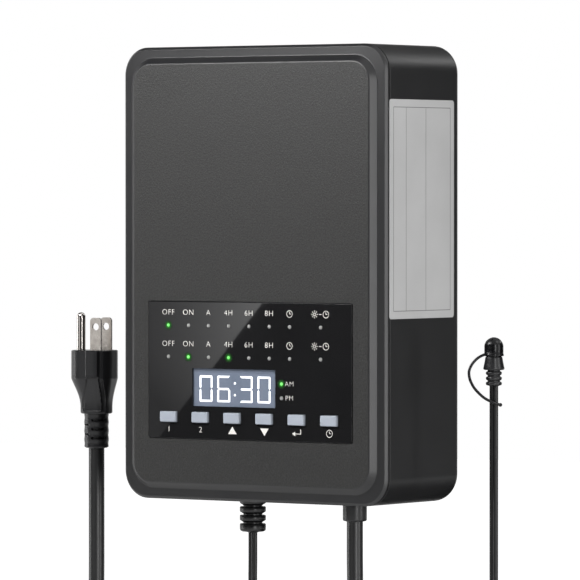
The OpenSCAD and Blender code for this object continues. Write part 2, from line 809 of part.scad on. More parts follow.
module display_digits() {
    front = y_face + display_sink;
    color("white") for (i = [0:3])
        translate([window_x + (i - 1.5) * digit_pitch + (i < 2 ? -1 : 1) * colon_gap / 2, 0, window_z])
            toward_front(front, glass_t) digit(shown_digits[i]);
    color("white") for (s = [-1, 1]) rod(window_x, window_z + s * digit_h / 5, front, glass_t, colon_r);
}
// A light: a body on the board and a narrow tip that ends flush with the panel
module status_led(p) {
    rod(p[0], p[1], y_board, y_board - y_inner - button_back_gap, led_body_r);
    rod(p[0], p[1], y_inner + button_back_gap + touch_gap, plate_t + button_back_gap + 2 * touch_gap,
        led_tip_r);
}
module status_leds_lit() {
    color("#7df07a") {
        for (p = lit_places) status_led(led_place(p[0], p[1]));
        status_led(noon_places()[0]);
    }
}
module status_leds_dark() {
    color("#d8d8d4") {
        for (row = [0, 1], i = [0:led_count]) if (!is_lit(row, i)) status_led(led_place(row, i));
        status_led(noon_places()[1]);
    }
}

// Control board, its switches, its chip, and the ribbon to the power board
module control_board() {
    color("#1f5a3a") difference() {
        block(0, panel_z, board_w, board_h, y_board + board_t, board_t);
        for (sx = [-1, 1], sz = [-1, 1])
            rod(sx * board_post_x, panel_z + sz * board_post_z, y_board + board_t + over, board_t + 2 * over,
                small_hole_r);
    }
}
module switch_bases() {
    color("#2a2a2c") for (i = [0:5]) difference() {
        block(button_x + i * button_pitch, button_z, switch_w, switch_w, y_board, switch_h);
        rod(button_x + i * button_pitch, button_z, y_board - switch_h + switch_well, switch_well + over,
            stem_r + touch_gap);
    }
}
module controller_chip() {
    color("#262628") block(chip_x, panel_z, chip_w, chip_w, y_board + board_t + chip_t, chip_t);
}
module board_headers() {
    color("#e6e2d6") {
        block(header_x, header_z, header_w, header_t, y_power - board_t, header_d);
        block(header_x, header_z, header_w, header_t, y_board + board_t + header_d, header_d);
    }
}
module ribbon_cable() {
    y0 = y_power - board_t - header_d;
    y1 = y_board + board_t + header_d;
    half = (y0 - y1 - ribbon_t) / 2;
    drop = sqrt(ribbon_r * ribbon_r - half * half);
    a = asin(half / ribbon_r);
    arc = [for (i = [0:ribbon_steps]) between(-a, a, i / ribbon_steps)];
    color("#9a9ca0")
        translate([header_x, (y0 + y1) / 2, header_z + drop])
            rotate([0, 90, 0]) linear_extrude(height = ribbon_w, center = true)
                polygon(concat(
                    [for (f = arc) (ribbon_r + ribbon_t / 2) * [cos(f), sin(f)]],
                    [for (i = [ribbon_steps:-1:0]) (ribbon_r - ribbon_t / 2) * [cos(arc[i]), sin(arc[i])]]
                ));
}
module board_screws() {
    color("#b9bcbf") {
        for (sx = [-1, 1], sz = [-1, 1]) {
            translate([sx * board_post_x, y_board + board_t, panel_z + sz * board_post_z])
                rotate([-90, 0, 0]) small_screw();
            translate([sx * power_post_x, y_power - board_t, power_z + sz * power_post_z])
                rotate([90, 0, 0]) small_screw();
        }
        for (s = [-1, 1]) translate([bay_x + s * block_screw_x, mid_y, z_bot + bay_h + block_flange])
            small_screw();
    }
}

// Push button: cap, lip behind the cover and a stem that enters its switch
module push_button(i) {
    x = button_x + i * button_pitch;
    color("#b5bccb") {
        translate([x, 0, button_z]) toward_front(y_button_lip + button_lip_t / 2,
            -y_face + button_out + y_button_lip + button_lip_t / 2)
            rounded_rect(button_w, button_h, button_edge_r);
        block(x, button_z, button_w + 2 * (button_side + button_lip),
            button_h + 2 * (button_side + button_lip), y_button_lip + button_lip_t, button_lip_t);
        rod(x, button_z, y_stem_end, y_stem_end - y_button_lip, stem_r);
    }
}
module button_zone_1() { push_button(0); }
module button_zone_2() { push_button(1); }
module button_up() { push_button(2); }
module button_down() { push_button(3); }
module button_enter() { push_button(4); }
module button_clock() { push_button(5); }

// Wound ring: section of a layer at a given inset from the outside of the tape
module ring_section(inset) {
    r0 = toroid_id / 2 + inset;
    r1 = toroid_od / 2 - inset;
    h = toroid_h - 2 * inset;
    r = max(round_r - inset, layer_gap);
    translate([(r0 + r1) / 2, 0]) rounded_rect(r1 - r0, h, r);
}
module wound_ring(outer, inner) {
    translate([0, toroid_y - toroid_h / 2, toroid_z]) rotate([90, 0, 0]) rotate_extrude() difference() {
        ring_section(outer);
        if (inner > 0) ring_section(inner);
    }
}
wind_1 = tape_t + layer_gap;
wind_2 = wind_1 + winding_t + layer_gap;
core_in = wind_2 + winding_t + layer_gap;
module toroid_tape() { color("#d9b53a") wound_ring(0, tape_t); }
module secondary_winding() { color("#b8622e") wound_ring(wind_1, wind_2 - layer_gap); }
module primary_winding() { color("#a8552a") wound_ring(wind_2, core_in - layer_gap); }
module toroid_core() { color("#5d6064") wound_ring(core_in, 0); }
module toroid_pads() {
    color("#1b1b1b") for (y = [toroid_y + pad_t, toroid_front]) difference() {
        rod(0, toroid_z, y, pad_t, platform_r);
        rod(0, toroid_z, y + over, pad_t + 2 * over, insert_r + bolt_gap);
    }
}
module toroid_washer() {
    seat = toroid_front - pad_t;
    color("#a9adb1") translate([0, seat, toroid_z]) rotate([90, 0, 0]) difference() {
        union() {
            cylinder(h = washer_t, r = washer_r);
            translate([0, 0, -washer_dish]) cylinder(h = washer_dish + washer_t, r = insert_r);
        }
        translate([0, 0, -washer_dish - over])
            cylinder(h = washer_dish + washer_t + 2 * over, r = bolt_r + touch_gap);
    }
}
module toroid_bolt() {
    seat = toroid_front - pad_t - washer_t;
    color("#b3b6b9") {
        rod(0, toroid_z, -(platform_d - insert_l + bolt_stop), -seat - platform_d + insert_l - bolt_stop,
            bolt_r);
        translate([0, seat, toroid_z]) rotate([90, 0, 0]) cylinder(h = bolt_head_t, r = bolt_head_r, $fn = 6);
    }
}
module toroid_insert() {
    color("#c8a34a") difference() {
        rod(0, toroid_z, -(platform_d - insert_l), insert_l, insert_r);
        rod(0, toroid_z, -(platform_d - insert_l) + over, insert_l + 2 * over, bolt_r + run_gap);
    }
}

// Power board and what it carries
module power_board() {
    color("#2a6b44") difference() {
        block(0, power_z, power_w, power_h, y_power, board_t);
        for (sx = [-1, 1], sz = [-1, 1])
            rod(sx * power_post_x, power_z + sz * power_post_z, y_power + over, board_t + 2 * over,
                small_hole_r);
    }
}
module relays() {
    color("#2456a6") for (i = [0, 1])
        block(relay_x + i * relay_pitch, relay_z, relay_w, relay_l, y_power - board_t, relay_h);
}
module thermal_breakers() {
    color("#3a3a3c") for (i = [0, 1])
        block(breaker_x - i * breaker_pitch, relay_z, breaker_w, breaker_l, y_power - board_t, breaker_h);
}
module fuse() {
    color("#cfd6d8") translate([fuse_x - fuse_l / 2, y_power - board_t - fuse_up, fuse_z])
        rotate([0, 90, 0]) cylinder(h = fuse_l, r = fuse_r);
}
module fuse_clips() {
    color("#c9ccce") for (s = [-1, 1]) difference() {
        block(fuse_x + s * (fuse_l - fuse_cap_l) / 2, fuse_z, fuse_clip_t, fuse_clip_w + 2 * touch_gap,
            y_power - board_t, fuse_clip_h);
        translate([fuse_x - fuse_l, y_power - board_t - fuse_up, fuse_z])
            rotate([0, 90, 0]) cylinder(h = 2 * fuse_l, r = fuse_r + run_gap);
        block(fuse_x, fuse_z, 2 * fuse_l, fuse_r, y_power - board_t - fuse_up, fuse_clip_h);
    }
}
module filter_capacitor() {
    color("#20242e") rod(cap_can_x, cap_can_z, y_power - board_t, cap_can_h, cap_can_r);
}
function spade_x(i) = (i - (spade_count - 1) / 2) * spade_pitch;
module spade_tabs() {
    color("#c9ccce") for (i = [0:spade_count - 1])
        block(spade_x(i), spade_z, spade_t, spade_w, y_power - board_t, spade_h);
}

// Terminal block that drops into the bay, its contacts and the four captive clamps
module terminal_block() {
    color("#3b3b3d") difference() {
        union() {
            translate([bay_x - block_w / 2, mid_y - block_d / 2, z_bot + block_drop])
                cube([block_w, block_d, bay_h - block_drop + block_flange]);
            translate([bay_x - bay_w / 2 - bay_wall, mid_y - block_flange_d / 2, z_bot + bay_h])
                cube([bay_w + 2 * bay_wall, block_flange_d, block_flange]);
        }
        for (i = [0:3]) translate([terminal_x(i), mid_y, z_bot + block_drop - over]) {
            cylinder(h = terminal_l + 2 * over + contact_t, r = terminal_r + touch_gap);
            translate([-clamp_w / 2, clamp_d / 2 - contact_t, 0])
                cube([clamp_w, contact_t, bay_h + block_flange]);
            translate([-clamp_w / 2, -clamp_d / 2, 0]) cube([clamp_w, clamp_d, contact_t + over]);
        }
        for (s = [-1, 1]) translate([bay_x + s * block_screw_x, mid_y, z_bot + bay_h - over])
            cylinder(h = block_flange + 2 * over, r = small_hole_r);
    }
}
function terminal_x(i) = bay_x + (i - 1.5) * terminal_pitch;
module terminal_contacts() {
    color("#c8a34a") for (i = [0:3]) translate([terminal_x(i), mid_y, z_bot + block_drop]) difference() {
        union() {
            translate([-clamp_w / 2, -clamp_d / 2, 0]) cube([clamp_w, clamp_d, contact_t]);
            translate([-clamp_w / 2, clamp_d / 2 - contact_t, 0])
                cube([clamp_w, contact_t, bay_h - block_drop + block_flange + contact_rise]);
        }
        translate([0, 0, -over]) cylinder(h = contact_t + 2 * over, r = terminal_r + touch_gap);
    }
}
module terminal_clamp(i) {
    seat = z_bot + block_drop - fit_gap - clamp_t;
    color("#d2d4d6") translate([terminal_x(i), mid_y, seat]) {
        translate([-clamp_w / 2, -clamp_d / 2, 0]) cube([clamp_w, clamp_d, clamp_t]);
        cylinder(h = terminal_l, r = terminal_r);
        difference() {
            translate([0, 0, -terminal_head_t])
                cylinder(h = terminal_head_t + clamp_t / 2, r = terminal_head_r);
            translate([0, 0, -terminal_head_t])
                cube([2 * terminal_head_r + over, slot_w, 2 * slot_deep], center = true);
        }
    }
}
module terminal_clamp_1() { terminal_clamp(0); }
module terminal_clamp_2() { terminal_clamp(1); }
module terminal_clamp_3() { terminal_clamp(2); }
module terminal_clamp_4() { terminal_clamp(3); }

// Bushing moulded on the mains lead, its nut, and the ribbed relief of the sensor cord
module lead_bushing() {
    color("#1d1d1d") translate([lead_x, mid_y, z_bot]) {
        translate([0, 0, -bushing_l + bushing_edge]) cylinder(h = bushing_l - bushing_edge, r = bushing_r);
        translate([0, 0, -bushing_l])
            cylinder(h = bushing_edge, r1 = bushing_r - bushing_edge, r2 = bushing_r);
        cylinder(h = neck_l, r = neck_r);
    }
}
module bushing_nut() {
    color("#3a3a3a") translate([lead_x, mid_y, z_bot + wall_t]) difference() {
        cylinder(h = nut_t, r = nut_wide / sqrt(3), $fn = 6);
        translate([0, 0, -over]) cylinder(h = nut_t + 2 * over, r = neck_r + run_gap);
    }
}
module sensor_relief() {
    pitch = relief_l / relief_ribs;
    color("#1d1d1d") translate([relief_x, mid_y, z_bot]) {
        translate([0, 0, -relief_l]) cylinder(h = relief_l, r = relief_core_r);
        for (i = [1:relief_ribs]) translate([0, 0, -i * pitch])
            cylinder(h = pitch - relief_slot, r = relief_r);
        cylinder(h = wall_t + touch_gap, r = neck_r);
        translate([0, 0, wall_t + touch_gap]) cylinder(h = relief_lock_t, r1 = relief_lock_r, r2 = neck_r);
    }
}

// Wires inside the box, each a curve between two ends with its own leaving directions
function curve(a, da, b, db) = [for (i = [0:wire_steps]) let (t = i / wire_steps, s = 1 - t)
    s * s * s * a + 3 * s * s * t * (a + da) + 3 * s * t * t * (b + db) + t * t * t * b];
module wire(a, da, b, db, d) {
    p = curve(a, da, b, db);
    tube(p, [1, 0, 0], d, d, same(p, 0), wire_sides);
}
lead_top = z_bot + neck_l + touch_gap;
wire_front = y_power - board_t - touch_gap;
wire_z = power_z - power_h / 3;
module internal_wires() {
    color("#2c2c2e") for (i = [0:2])
        wire([lead_x + (i - 1) * wire_pitch, mid_y, lead_top], [0, 0, wire_bow],
            [relay_x + relay_pitch + relay_w / 2 + wire_side + i * wire_pitch, wire_front, relay_z],
            [0, -wire_bow * 0.8, 0], wire_d);
    color("#c23b32") for (i = [0:spade_count - 1])
        wire([spade_x(i), toroid_y - toroid_h / 2, toroid_z - toroid_od / 2], [0, 0, -wire_bow / 5],
            [spade_x(i), wire_front - spade_h, spade_z], [0, -wire_bow / 5, 0], wire_d);
    color("#d8d4c8") for (i = [0:3])
        wire([terminal_x(i), mid_y + clamp_d / 2, z_bot + bay_h + block_flange + contact_rise],
            [0, 0, wire_bow / 4], [terminal_x(i), wire_front, wire_z], [0, -wire_bow / 5, 0], wire_d);
    color("#55575a") for (i = [0:1])
        wire([relief_x + (i - 0.5) * wire_pitch, mid_y, z_bot + wall_t + relief_lock_t + 2 * touch_gap],
            [0, 0, wire_bow / 2], [relief_x + (i - 0.5) * wire_pitch, wire_front, wire_z],
            [0, -wire_bow / 2, 0], thin_wire_d);
}

module side_label() {
    color("#c4c4c4") translate([box_w / 2, label_y - label_w / 2, label_z - label_h / 2])
        cube([label_t, label_w, label_h]);
}

// Mains lead: the stretch down from the box, the tied coil, and the stretch up to the plug
module lead_out() {
    color("#222223") tube(lead_out_route, [0, 1, 0], lead_d, lead_d, same(lead_out_route, 0), 10);
}
module lead_coil() {
    r = rings(lead_loops, [0, 1, 0], lead_d, lead_d, same(lead_loops, 0), coil_sides);
    echo(lead_coil_gap = coil_gap(r));
    echo(lead_length = route_length(lead_out_route) + route_length(lead_loops)
        + route_length(lead_up_route));
    color("#222223") tube(lead_loops, [0, 1, 0], lead_d, lead_d, same(lead_loops, 0), coil_sides);
}
module lead_to_plug() {
    color("#222223") tube(lead_up_route, [0, 1, 0], lead_d, lead_d, same(lead_up_route, 0), 10);
}
// A strap tie round a coil's bundle where the given share of a turn lies
module tie(x, y, r, pitch, layer, turns, start, way, w, h, share) {
    radii = [for (q = [share:1:turns]) coil_radius(q, r, pitch, turns)];
    lo = min(radii) - h / 2 - tie_gap;
    hi = max(radii) + h / 2 + tie_gap;
    deep = layer + w + 2 * tie_gap;
    translate([x, y, coil_z]) rotate([0, -(start + way * 360 * share), 0]) difference() {
        union() {
            translate([(lo + hi) / 2, 0, 0])
                cube([hi - lo + 2 * tie_t, deep + 2 * tie_t, tie_w], center = true);
            translate([hi + tie_t, 0, 0]) cube([tie_t + slot_w, tie_head, tie_head + tie_t], center = true);
        }
        translate([(lo + hi) / 2, 0, 0]) cube([hi - lo, deep, tie_head * 2], center = true);
    }
}
module lead_ties() {
    color("#101010") for (s = tie_turn_shares)
        tie(lead_coil_x, mid_y, lead_coil_r, lead_pitch, lead_layer, lead_turns, 0, -1, lead_d, lead_d, s);
}

// Plug: a body that narrows to its relief, two blades and a ground pin
module plug_place() {
    translate([plug_x, mid_y, plug_top]) rotate([0, 0, plug_turn]) children();
}
module plug_layer(long, wide, r, shift, down) {
    translate([shift, 0, -down]) linear_extrude(height = plug_slice) rounded_rect(long, wide, r, $fn = 32);
}
module plug_body() {
    mid_long = between(plug_long, plug_end_long, plug_mid_share);
    mid_wide = between(plug_wide, plug_end_wide, plug_mid_share);
    mid_r = between(plug_r, plug_end_r, plug_mid_share);
    mid_shift = plug_shift * (1 - plug_mid_share);
    color("#1e1e1f") plug_place() difference() {
        union() {
            translate([plug_shift, 0, -plug_straight]) linear_extrude(height = plug_straight)
                rounded_rect(plug_long, plug_wide, plug_r, $fn = 32);
            hull() {
                plug_layer(plug_long, plug_wide, plug_r, plug_shift, plug_straight);
                plug_layer(mid_long, mid_wide, mid_r, mid_shift, plug_straight + plug_waist);
            }
            hull() {
                plug_layer(mid_long, mid_wide, mid_r, mid_shift, plug_straight + plug_waist);
                plug_layer(plug_end_long, plug_end_wide, plug_end_r, 0, plug_tall);
            }
            translate([0, 0, -plug_tall - plug_relief_l]) difference() {
                cylinder(h = plug_relief_l + plug_slice, r = plug_relief_r);
                for (i = [1:plug_slots], s = [-1, 1])
                    translate([s * plug_relief_r, 0, i * plug_relief_l / (plug_slots + 1)])
                        cube([2 * (plug_relief_r - lead_d / 2), 2 * plug_slot_r, plug_slot_h], center = true);
            }
        }
        for (s = [-1, 1]) blade_block(s, touch_gap);
        translate([blade_x - pin_offset, 0, -blade_root])
            cylinder(h = blade_root + over, r = pin_d / 2 + run_gap);
    }
}
module blade_block(s, grow) {
    translate([blade_x - blade_w / 2 - grow, s * blade_gap / 2 - blade_t / 2 - grow, -blade_root])
        cube([blade_w + 2 * grow, blade_t + 2 * grow, blade_root + over]);
}
module plug_blades() {
    color("#c9c6c2") plug_place() for (s = [-1, 1])
        translate([blade_x, s * blade_gap / 2 + blade_t / 2, -blade_root]) rotate([90, 0, 0])
            linear_extrude(height = blade_t) difference() {
                union() {
                    translate([-blade_w / 2, 0]) square([blade_w, blade_root + blade_l - blade_tip_r]);
                    translate([-blade_w / 2 + blade_tip_r, 0])
                        square([blade_w - 2 * blade_tip_r, blade_root + blade_l]);
                    for (e = [-1, 1])
                        translate([e * (blade_w / 2 - blade_tip_r), blade_root + blade_l - blade_tip_r])
                            circle(r = blade_tip_r);
                }
                translate([0, blade_root + blade_hole_up]) circle(r = blade_hole_r);
            }
}
module ground_pin() {
    color("#d6d6d6") plug_place() translate([blade_x - pin_offset, 0, -blade_root]) {
        cylinder(h = blade_root + pin_l - pin_d / 2, r = pin_d / 2);
        translate([0, 0, blade_root + pin_l - pin_d / 2]) sphere(r = pin_d / 2);
    }
}

// Sensor cord: out of the box, a tied coil, and up to the light sensor
flat_lie = -90;
flat_end_turn = -12;
module sensor_cord_out() {
    turns = swing(flat_out_route, 2, len(flat_out_route) - 2, 0, flat_lie);
    color("#222223") tube(flat_out_route, [0, 1, 0], flat_w, flat_t, turns, 8);
}
module sensor_coil() {
    r = rings(flat_loops, [0, 1, 0], flat_w, flat_t, same(flat_loops, flat_lie), coil_sides);
    echo(sensor_coil_gap = coil_gap(r));
    echo(sensor_cord_length = route_length(flat_out_route) + route_length(flat_loops)
        + route_length(flat_up_route));
    color("#222223") tube(flat_loops, [0, 1, 0], flat_w, flat_t, same(flat_loops, flat_lie), coil_sides);
}
module sensor_cord_end() {
    turns = swing(flat_up_route, 1, 7, -flat_lie, flat_end_turn);
    color("#222223") tube(flat_up_route, [0, 1, 0], flat_w, flat_t, turns, 8);
}
module sensor_ties() {
    color("#101010") for (s = tie_turn_shares)
        tie(flat_coil_x, flat_coil_y, flat_coil_r, flat_pitch, flat_layer, flat_turns, 180, 1,
            flat_w, flat_t, s);
}

// Light sensor: a skirted body with a ribbed tail, its cell, and a cap on a strap
module sensor_place(z) {
    translate([sensor_x, mid_y, z]) rotate([0, 0, sensor_turn]) children();
}
module sensor_body() {
    tail_top = -skirt_h - skirt_lip;
    pitch = tail_l / tail_ribs;
    color("#1f1f20") sensor_place(skirt_top) difference() {
        union() {
            cylinder(h = nose_h, r = nose_r);
            translate([0, 0, -skirt_h]) cylinder(h = skirt_h, r1 = skirt_foot_r, r2 = skirt_r);
            translate([0, 0, tail_top]) cylinder(h = skirt_lip, r = skirt_foot_r);
            translate([0, 0, tail_top - tail_l]) cylinder(h = tail_l, r = tail_r);
            for (i = [0:tail_ribs - 1])
                translate([0, 0, tail_top - tail_l + i * pitch]) cylinder(h = tail_rib_t, r = tail_rib_r);
        }
        translate([0, 0, nose_h - cell_t]) cylinder(h = cell_t + over, r = cell_r);
    }
    color("#c8502c") sensor_place(skirt_top + nose_h - cell_t)
        cylinder(h = cell_t - touch_gap, r = cell_r - run_gap);
}
module sensor_cap() {
    p = strap_points;
    color("#1b1b1c") sensor_place(sensor_top) {
        difference() {
            union() {
                translate([0, 0, -cap_h]) cylinder(h = cap_h - cap_d / 2, r = cap_d / 2);
                translate([0, 0, -cap_d / 2]) sphere(r = cap_d / 2);
            }
            translate([0, 0, -cap_h - over]) cylinder(h = nose_h + fit_gap + over, r = nose_r + run_gap);
        }
        tube(p, [0, 1, 0], strap_d, strap_d, same(p, 0), 8);
        translate(p[len(p) - 1]) sphere(r = strap_end_r);
    }
}

rear_housing();
front_cover();
cover_gasket();
cover_screws();
panel_overlay();
display_module();
display_digits();
status_leds_lit();
status_leds_dark();
control_board();
switch_bases();
controller_chip();
board_headers();
ribbon_cable();
board_screws();
button_zone_1();
button_zone_2();
button_up();
button_down();
button_enter();
button_clock();
toroid_core();
primary_winding();
secondary_winding();
toroid_tape();
toroid_pads();
toroid_washer();
toroid_bolt();
toroid_insert();
power_board();
relays();
thermal_breakers();
fuse();
fuse_clips();
filter_capacitor();
spade_tabs();
terminal_block();
terminal_contacts();
terminal_clamp_1();
terminal_clamp_2();
terminal_clamp_3();
terminal_clamp_4();
lead_bushing();
bushing_nut();
sensor_relief();
internal_wires();
side_label();
lead_out();
lead_coil();
lead_to_plug();
lead_ties();
plug_body();
plug_blades();
ground_pin();
sensor_cord_out();
sensor_coil();
sensor_cord_end();
sensor_ties();
sensor_body();
sensor_cap();
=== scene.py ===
"""Looks of a low voltage landscape transformer, dressed over the frame of its solids.

The frame's origin lies on the back plane, midway between the keyhole seats: X to the right, Y to the wall and
Z up. Sizes below are in millimetres, and the meshes are in metres.
"""

import logging
import math
from collections.abc import Sequence
from dataclasses import dataclass, field
from enum import Enum

import bmesh
import bpy
from mathutils import Matrix, Vector


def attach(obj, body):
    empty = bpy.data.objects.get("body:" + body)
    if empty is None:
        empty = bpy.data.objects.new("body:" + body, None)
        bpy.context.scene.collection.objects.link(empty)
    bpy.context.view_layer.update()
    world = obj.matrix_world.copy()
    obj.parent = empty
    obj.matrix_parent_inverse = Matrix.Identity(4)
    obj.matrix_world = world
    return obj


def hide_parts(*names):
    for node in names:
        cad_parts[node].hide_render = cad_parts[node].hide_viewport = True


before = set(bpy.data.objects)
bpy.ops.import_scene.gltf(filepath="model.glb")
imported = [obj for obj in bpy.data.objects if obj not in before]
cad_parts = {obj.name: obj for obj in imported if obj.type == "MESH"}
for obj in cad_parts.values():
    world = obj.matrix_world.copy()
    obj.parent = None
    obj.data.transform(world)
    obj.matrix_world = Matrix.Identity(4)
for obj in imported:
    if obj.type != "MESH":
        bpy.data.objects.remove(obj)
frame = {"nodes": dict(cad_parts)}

LOG = logging.getLogger("transformer")
MM = 0.001
WHITE = (1, 1, 1, 1)
COLOUR_DETAIL, GLOSS_DETAIL, GRAIN_DETAIL = 5.0, 4.0, 2.0
TONE_ENDS = (0.35, 0.65)
CORNERS = ((-1, -1), (-1, 1), (1, -1), (1, 1))
BOX_STEPS, SMALL_STEPS = 14, 5
UPRIGHT = Matrix.Rotation(math.pi / 2, 4, "X")
Tree, Socket, Material = bpy.types.NodeTree, bpy.types.NodeSocket, bpy.types.Material
Mesh, Piece = bmesh.types.BMesh, bpy.types.Object
Ring = list[Vector]
Spot = tuple[float, float]
Point = tuple[float, float, float]
Spots = tuple[Spot, ...]
Route = tuple[Point, ...]
Profile = Sequence[Spot]


# Colour, node and mesh tools


def srgb(code: str) -> tuple[float, float, float, float]:
    """Turn an sRGB hex colour to the linear values that shaders take.

    Args:
        code: six hex digits, with or without a leading #.

    Returns:
        Linear red, green and blue, and an alpha of 1.
    """
    digits = code.lstrip("#")
    parts = [int(digits[i : i + 2], 16) / 255 for i in (0, 2, 4)]
    linear = [v / 12.92 if v <= 0.04045 else ((v + 0.055) / 1.055) ** 2.4 for v in parts]
    return (linear[0], linear[1], linear[2], 1.0)


def add_node(
    tree: Tree, kind: str, settings: dict | None = None, links: dict | None = None
) -> bpy.types.Node:
    """Add a node with its settings and links.

    Args:
        tree: the tree that takes the node.
        kind: the node's type name, without the ShaderNode before it.
        settings: values by a property's name, or an input socket's name or number.
        links: output sockets by the name or number of an input socket.

    Returns:
        The new node.
    """
    node = tree.nodes.new("ShaderNode" + kind)
    for name, value in (settings or {}).items():
        if isinstance(name, str) and hasattr(node, name):
            setattr(node, name, value)
        else:
            node.inputs[name].default_value = value
    for name, socket in (links or {}).items():
        tree.links.new(socket, node.inputs[name])
    return node


def rounded_rect(w: float, h: float, r: float, steps: int = 10) -> list[Spot]:
    """Points of a rectangle with round corners, counter-clockwise from the right side's foot.

    Args:
        w: width.
        h: height.
        r: corner radius.
        steps: segments in each corner.

    Returns:
        The points, about the centre.
    """
    points = []
    for quarter, (sx, sz) in enumerate(((1, 1), (-1, 1), (-1, -1), (1, -1))):
        for i in range(steps + 1):
            a = math.radians(90 * (quarter + i / steps))
            points.append((sx * (w / 2 - r) + r * math.cos(a), sz * (h / 2 - r) + r * math.sin(a)))
    return points


def front_ring(w: float, h: float, r: float, y: float, cz: float, cx: float = 0.0, steps: int = 10) -> Ring:
    """A rounded rectangle that faces the front, at depth y and centred on cx and cz."""
    return [Vector((cx + x, y, cz + z)) for x, z in rounded_rect(w, h, r, steps)]


def circle(r: float, steps: int) -> list[Spot]:
    """Points of a circle about the origin, counter-clockwise."""
    angles = [2 * math.pi * k / steps for k in range(steps)]
    return [(r * math.cos(a), r * math.sin(a)) for a in angles]


def front_circle(x: float, y: float, z: float, r: float, steps: int) -> Ring:
    """A circle that faces the front, at depth y and centred on x and z."""
    return [Vector((x + u, y, z + v)) for u, v in circle(r, steps)]


def turned(profile: Profile, steps: int = 48, place: Matrix | None = None) -> list[Ring]:
    """Rings of a shape turned about Z, one for each radius and height of the profile, put in place."""
    at = place or Matrix.Identity(4)
    return [[at @ Vector((x, y, z)) for x, y in circle(r, steps)] for r, z in profile]


def roll(radius: float, steps: int = 4) -> list[Spot]:
    """Inset and rise of the points along a quarter round of that radius, from its foot to its top."""
    angles = [math.pi / 2 * i / steps for i in range(steps + 1)]
    return [(radius * (1 - math.cos(a)), radius * math.sin(a)) for a in angles]


def smooth_step(a: float, b: float, v: float) -> float:
    """Rise from 0 at a to 1 at b, level at both ends."""
    t = min(1.0, max(0.0, (v - a) / (b - a)))
    return t * t * (3 - 2 * t)


def loft(rings: Sequence[Ring], caps: tuple[bool, bool] = (True, True), closed: bool = False) -> Mesh:
    """Join rings of equal count by quads.

    Args:
        rings: the rings in order, in millimetres.
        caps: whether the first and last rings are closed by a face.
        closed: whether the last ring joins the first.

    Returns:
        The mesh, in metres, with its faces turned outwards.
    """
    bm = bmesh.new()
    rows = [[bm.verts.new(p * MM) for p in ring] for ring in rings]
    pairs = list(zip(rows, rows[1:])) + ([(rows[-1], rows[0])] if closed else [])
    for one, two in pairs:
        for k in range(len(one)):
            m = (k + 1) % len(one)
            bm.faces.new((one[k], one[m], two[m], two[k]))
    if not closed and caps[0]:
        bm.faces.new(list(reversed(rows[0])))
    if not closed and caps[1]:
        bm.faces.new(rows[-1])
    bmesh.ops.recalc_face_normals(bm, faces=bm.faces)
    return bm


def block(low: Sequence[float], high: Sequence[float]) -> Mesh:
    """A box between two corners.

    Args:
        low: the lowest corner, in millimetres.
        high: the highest corner.

    Returns:
        The box.
    """
    (x0, y0, z0), (x1, y1, z1) = low, high
    corners = ((x0, y0), (x1, y0), (x1, y1), (x0, y1))
    return loft([[Vector((x, y, z)) for x, y in corners] for z in (z0, z1)])


def rod_y(x: float, z: float, y0: float, y1: float, r: float, steps: int = 32) -> Mesh:
    """A round rod along Y, from y0 to y1."""
    return loft([front_circle(x, y, z, r, steps) for y in (y0, y1)])


def rod_z(x: float, y: float, z0: float, z1: float, r: float, steps: int = 32) -> Mesh:
    """A round rod along Z, from z0 to z1."""
    return loft(turned([(r, z0), (r, z1)], steps, Matrix.Translation((x, y, 0))))


def joined(parts: Sequence[Mesh]) -> Mesh:
    """Put several meshes into one.

    Args:
        parts: the meshes, which are used up.

    Returns:
        The one mesh.
    """
    whole = bmesh.new()
    for part in parts:
        mesh = bpy.data.meshes.new("part")
        part.to_mesh(mesh)
        part.free()
        whole.from_mesh(mesh)
        bpy.data.meshes.remove(mesh)
    return whole


def new_object(name: str, bm: Mesh) -> Piece:
    """Make an object of a mesh and link it to the scene.

    Args:
        name: the object's name.
        bm: its mesh, which is used up.

    Returns:
        The object.
    """
    mesh = bpy.data.meshes.new(name)
    bm.to_mesh(mesh)
    bm.free()
    obj = bpy.data.objects.new(name, mesh)
    bpy.context.scene.collection.objects.link(obj)
    return obj


class Cut(Enum):
    """What a second shape does to the first."""

    ADD = "UNION"
    TAKE = "DIFFERENCE"


def carve(obj: Piece, tools: Sequence[Mesh], how: Cut) -> None:
    """Add shapes to an object or take them away from it, and keep the result as its mesh.

    Args:
        obj: the object that changes.
        tools: the shapes. Those of one call don't touch each other.
        how: whether they are added or taken away.
    """
    tool = new_object(obj.name + "_tool", joined(tools))
    modifier = obj.modifiers.new("carve", "BOOLEAN")
    modifier.operation = how.value
    modifier.solver = "EXACT"
    modifier.object = tool
    bpy.context.view_layer.update()
    result = bpy.data.meshes.new_from_object(obj.evaluated_get(bpy.context.evaluated_depsgraph_get()))
    obj.modifiers.clear()
    old = obj.data
    obj.data = result
    bpy.data.meshes.remove(old)
    bpy.data.objects.remove(tool)


def dress(
    obj: Piece,
    finish: "Finish",
    body: str = "box",
    nodes: Sequence[str] = (),
    crease: float = 32,
    flat: bool = False,
) -> Piece:
    """Give a piece its finish, its shading and its place in the frame.

    Args:
        obj: the piece.
        finish: its surface.
        body: the body that it rides on.
        nodes: the nodes that it stands for.
        crease: faces that meet at more than this angle, in degrees, keep a sharp edge.
        flat: whether large flat faces keep their own normals.

    Returns:
        The piece.
    """
    obj.data.materials.clear()
    obj.data.materials.append(finish.material())
    obj.data.shade_smooth()
    obj.data.set_sharp_from_angle(angle=math.radians(crease))
    if flat:
        modifier = obj.modifiers.new("flat faces", "WEIGHTED_NORMAL")
        modifier.keep_sharp = True
    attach(obj, body)
    if nodes:
        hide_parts(*nodes)
    LOG.info("%s on %s, %d faces", obj.name, body, len(obj.data.polygons))
    return obj


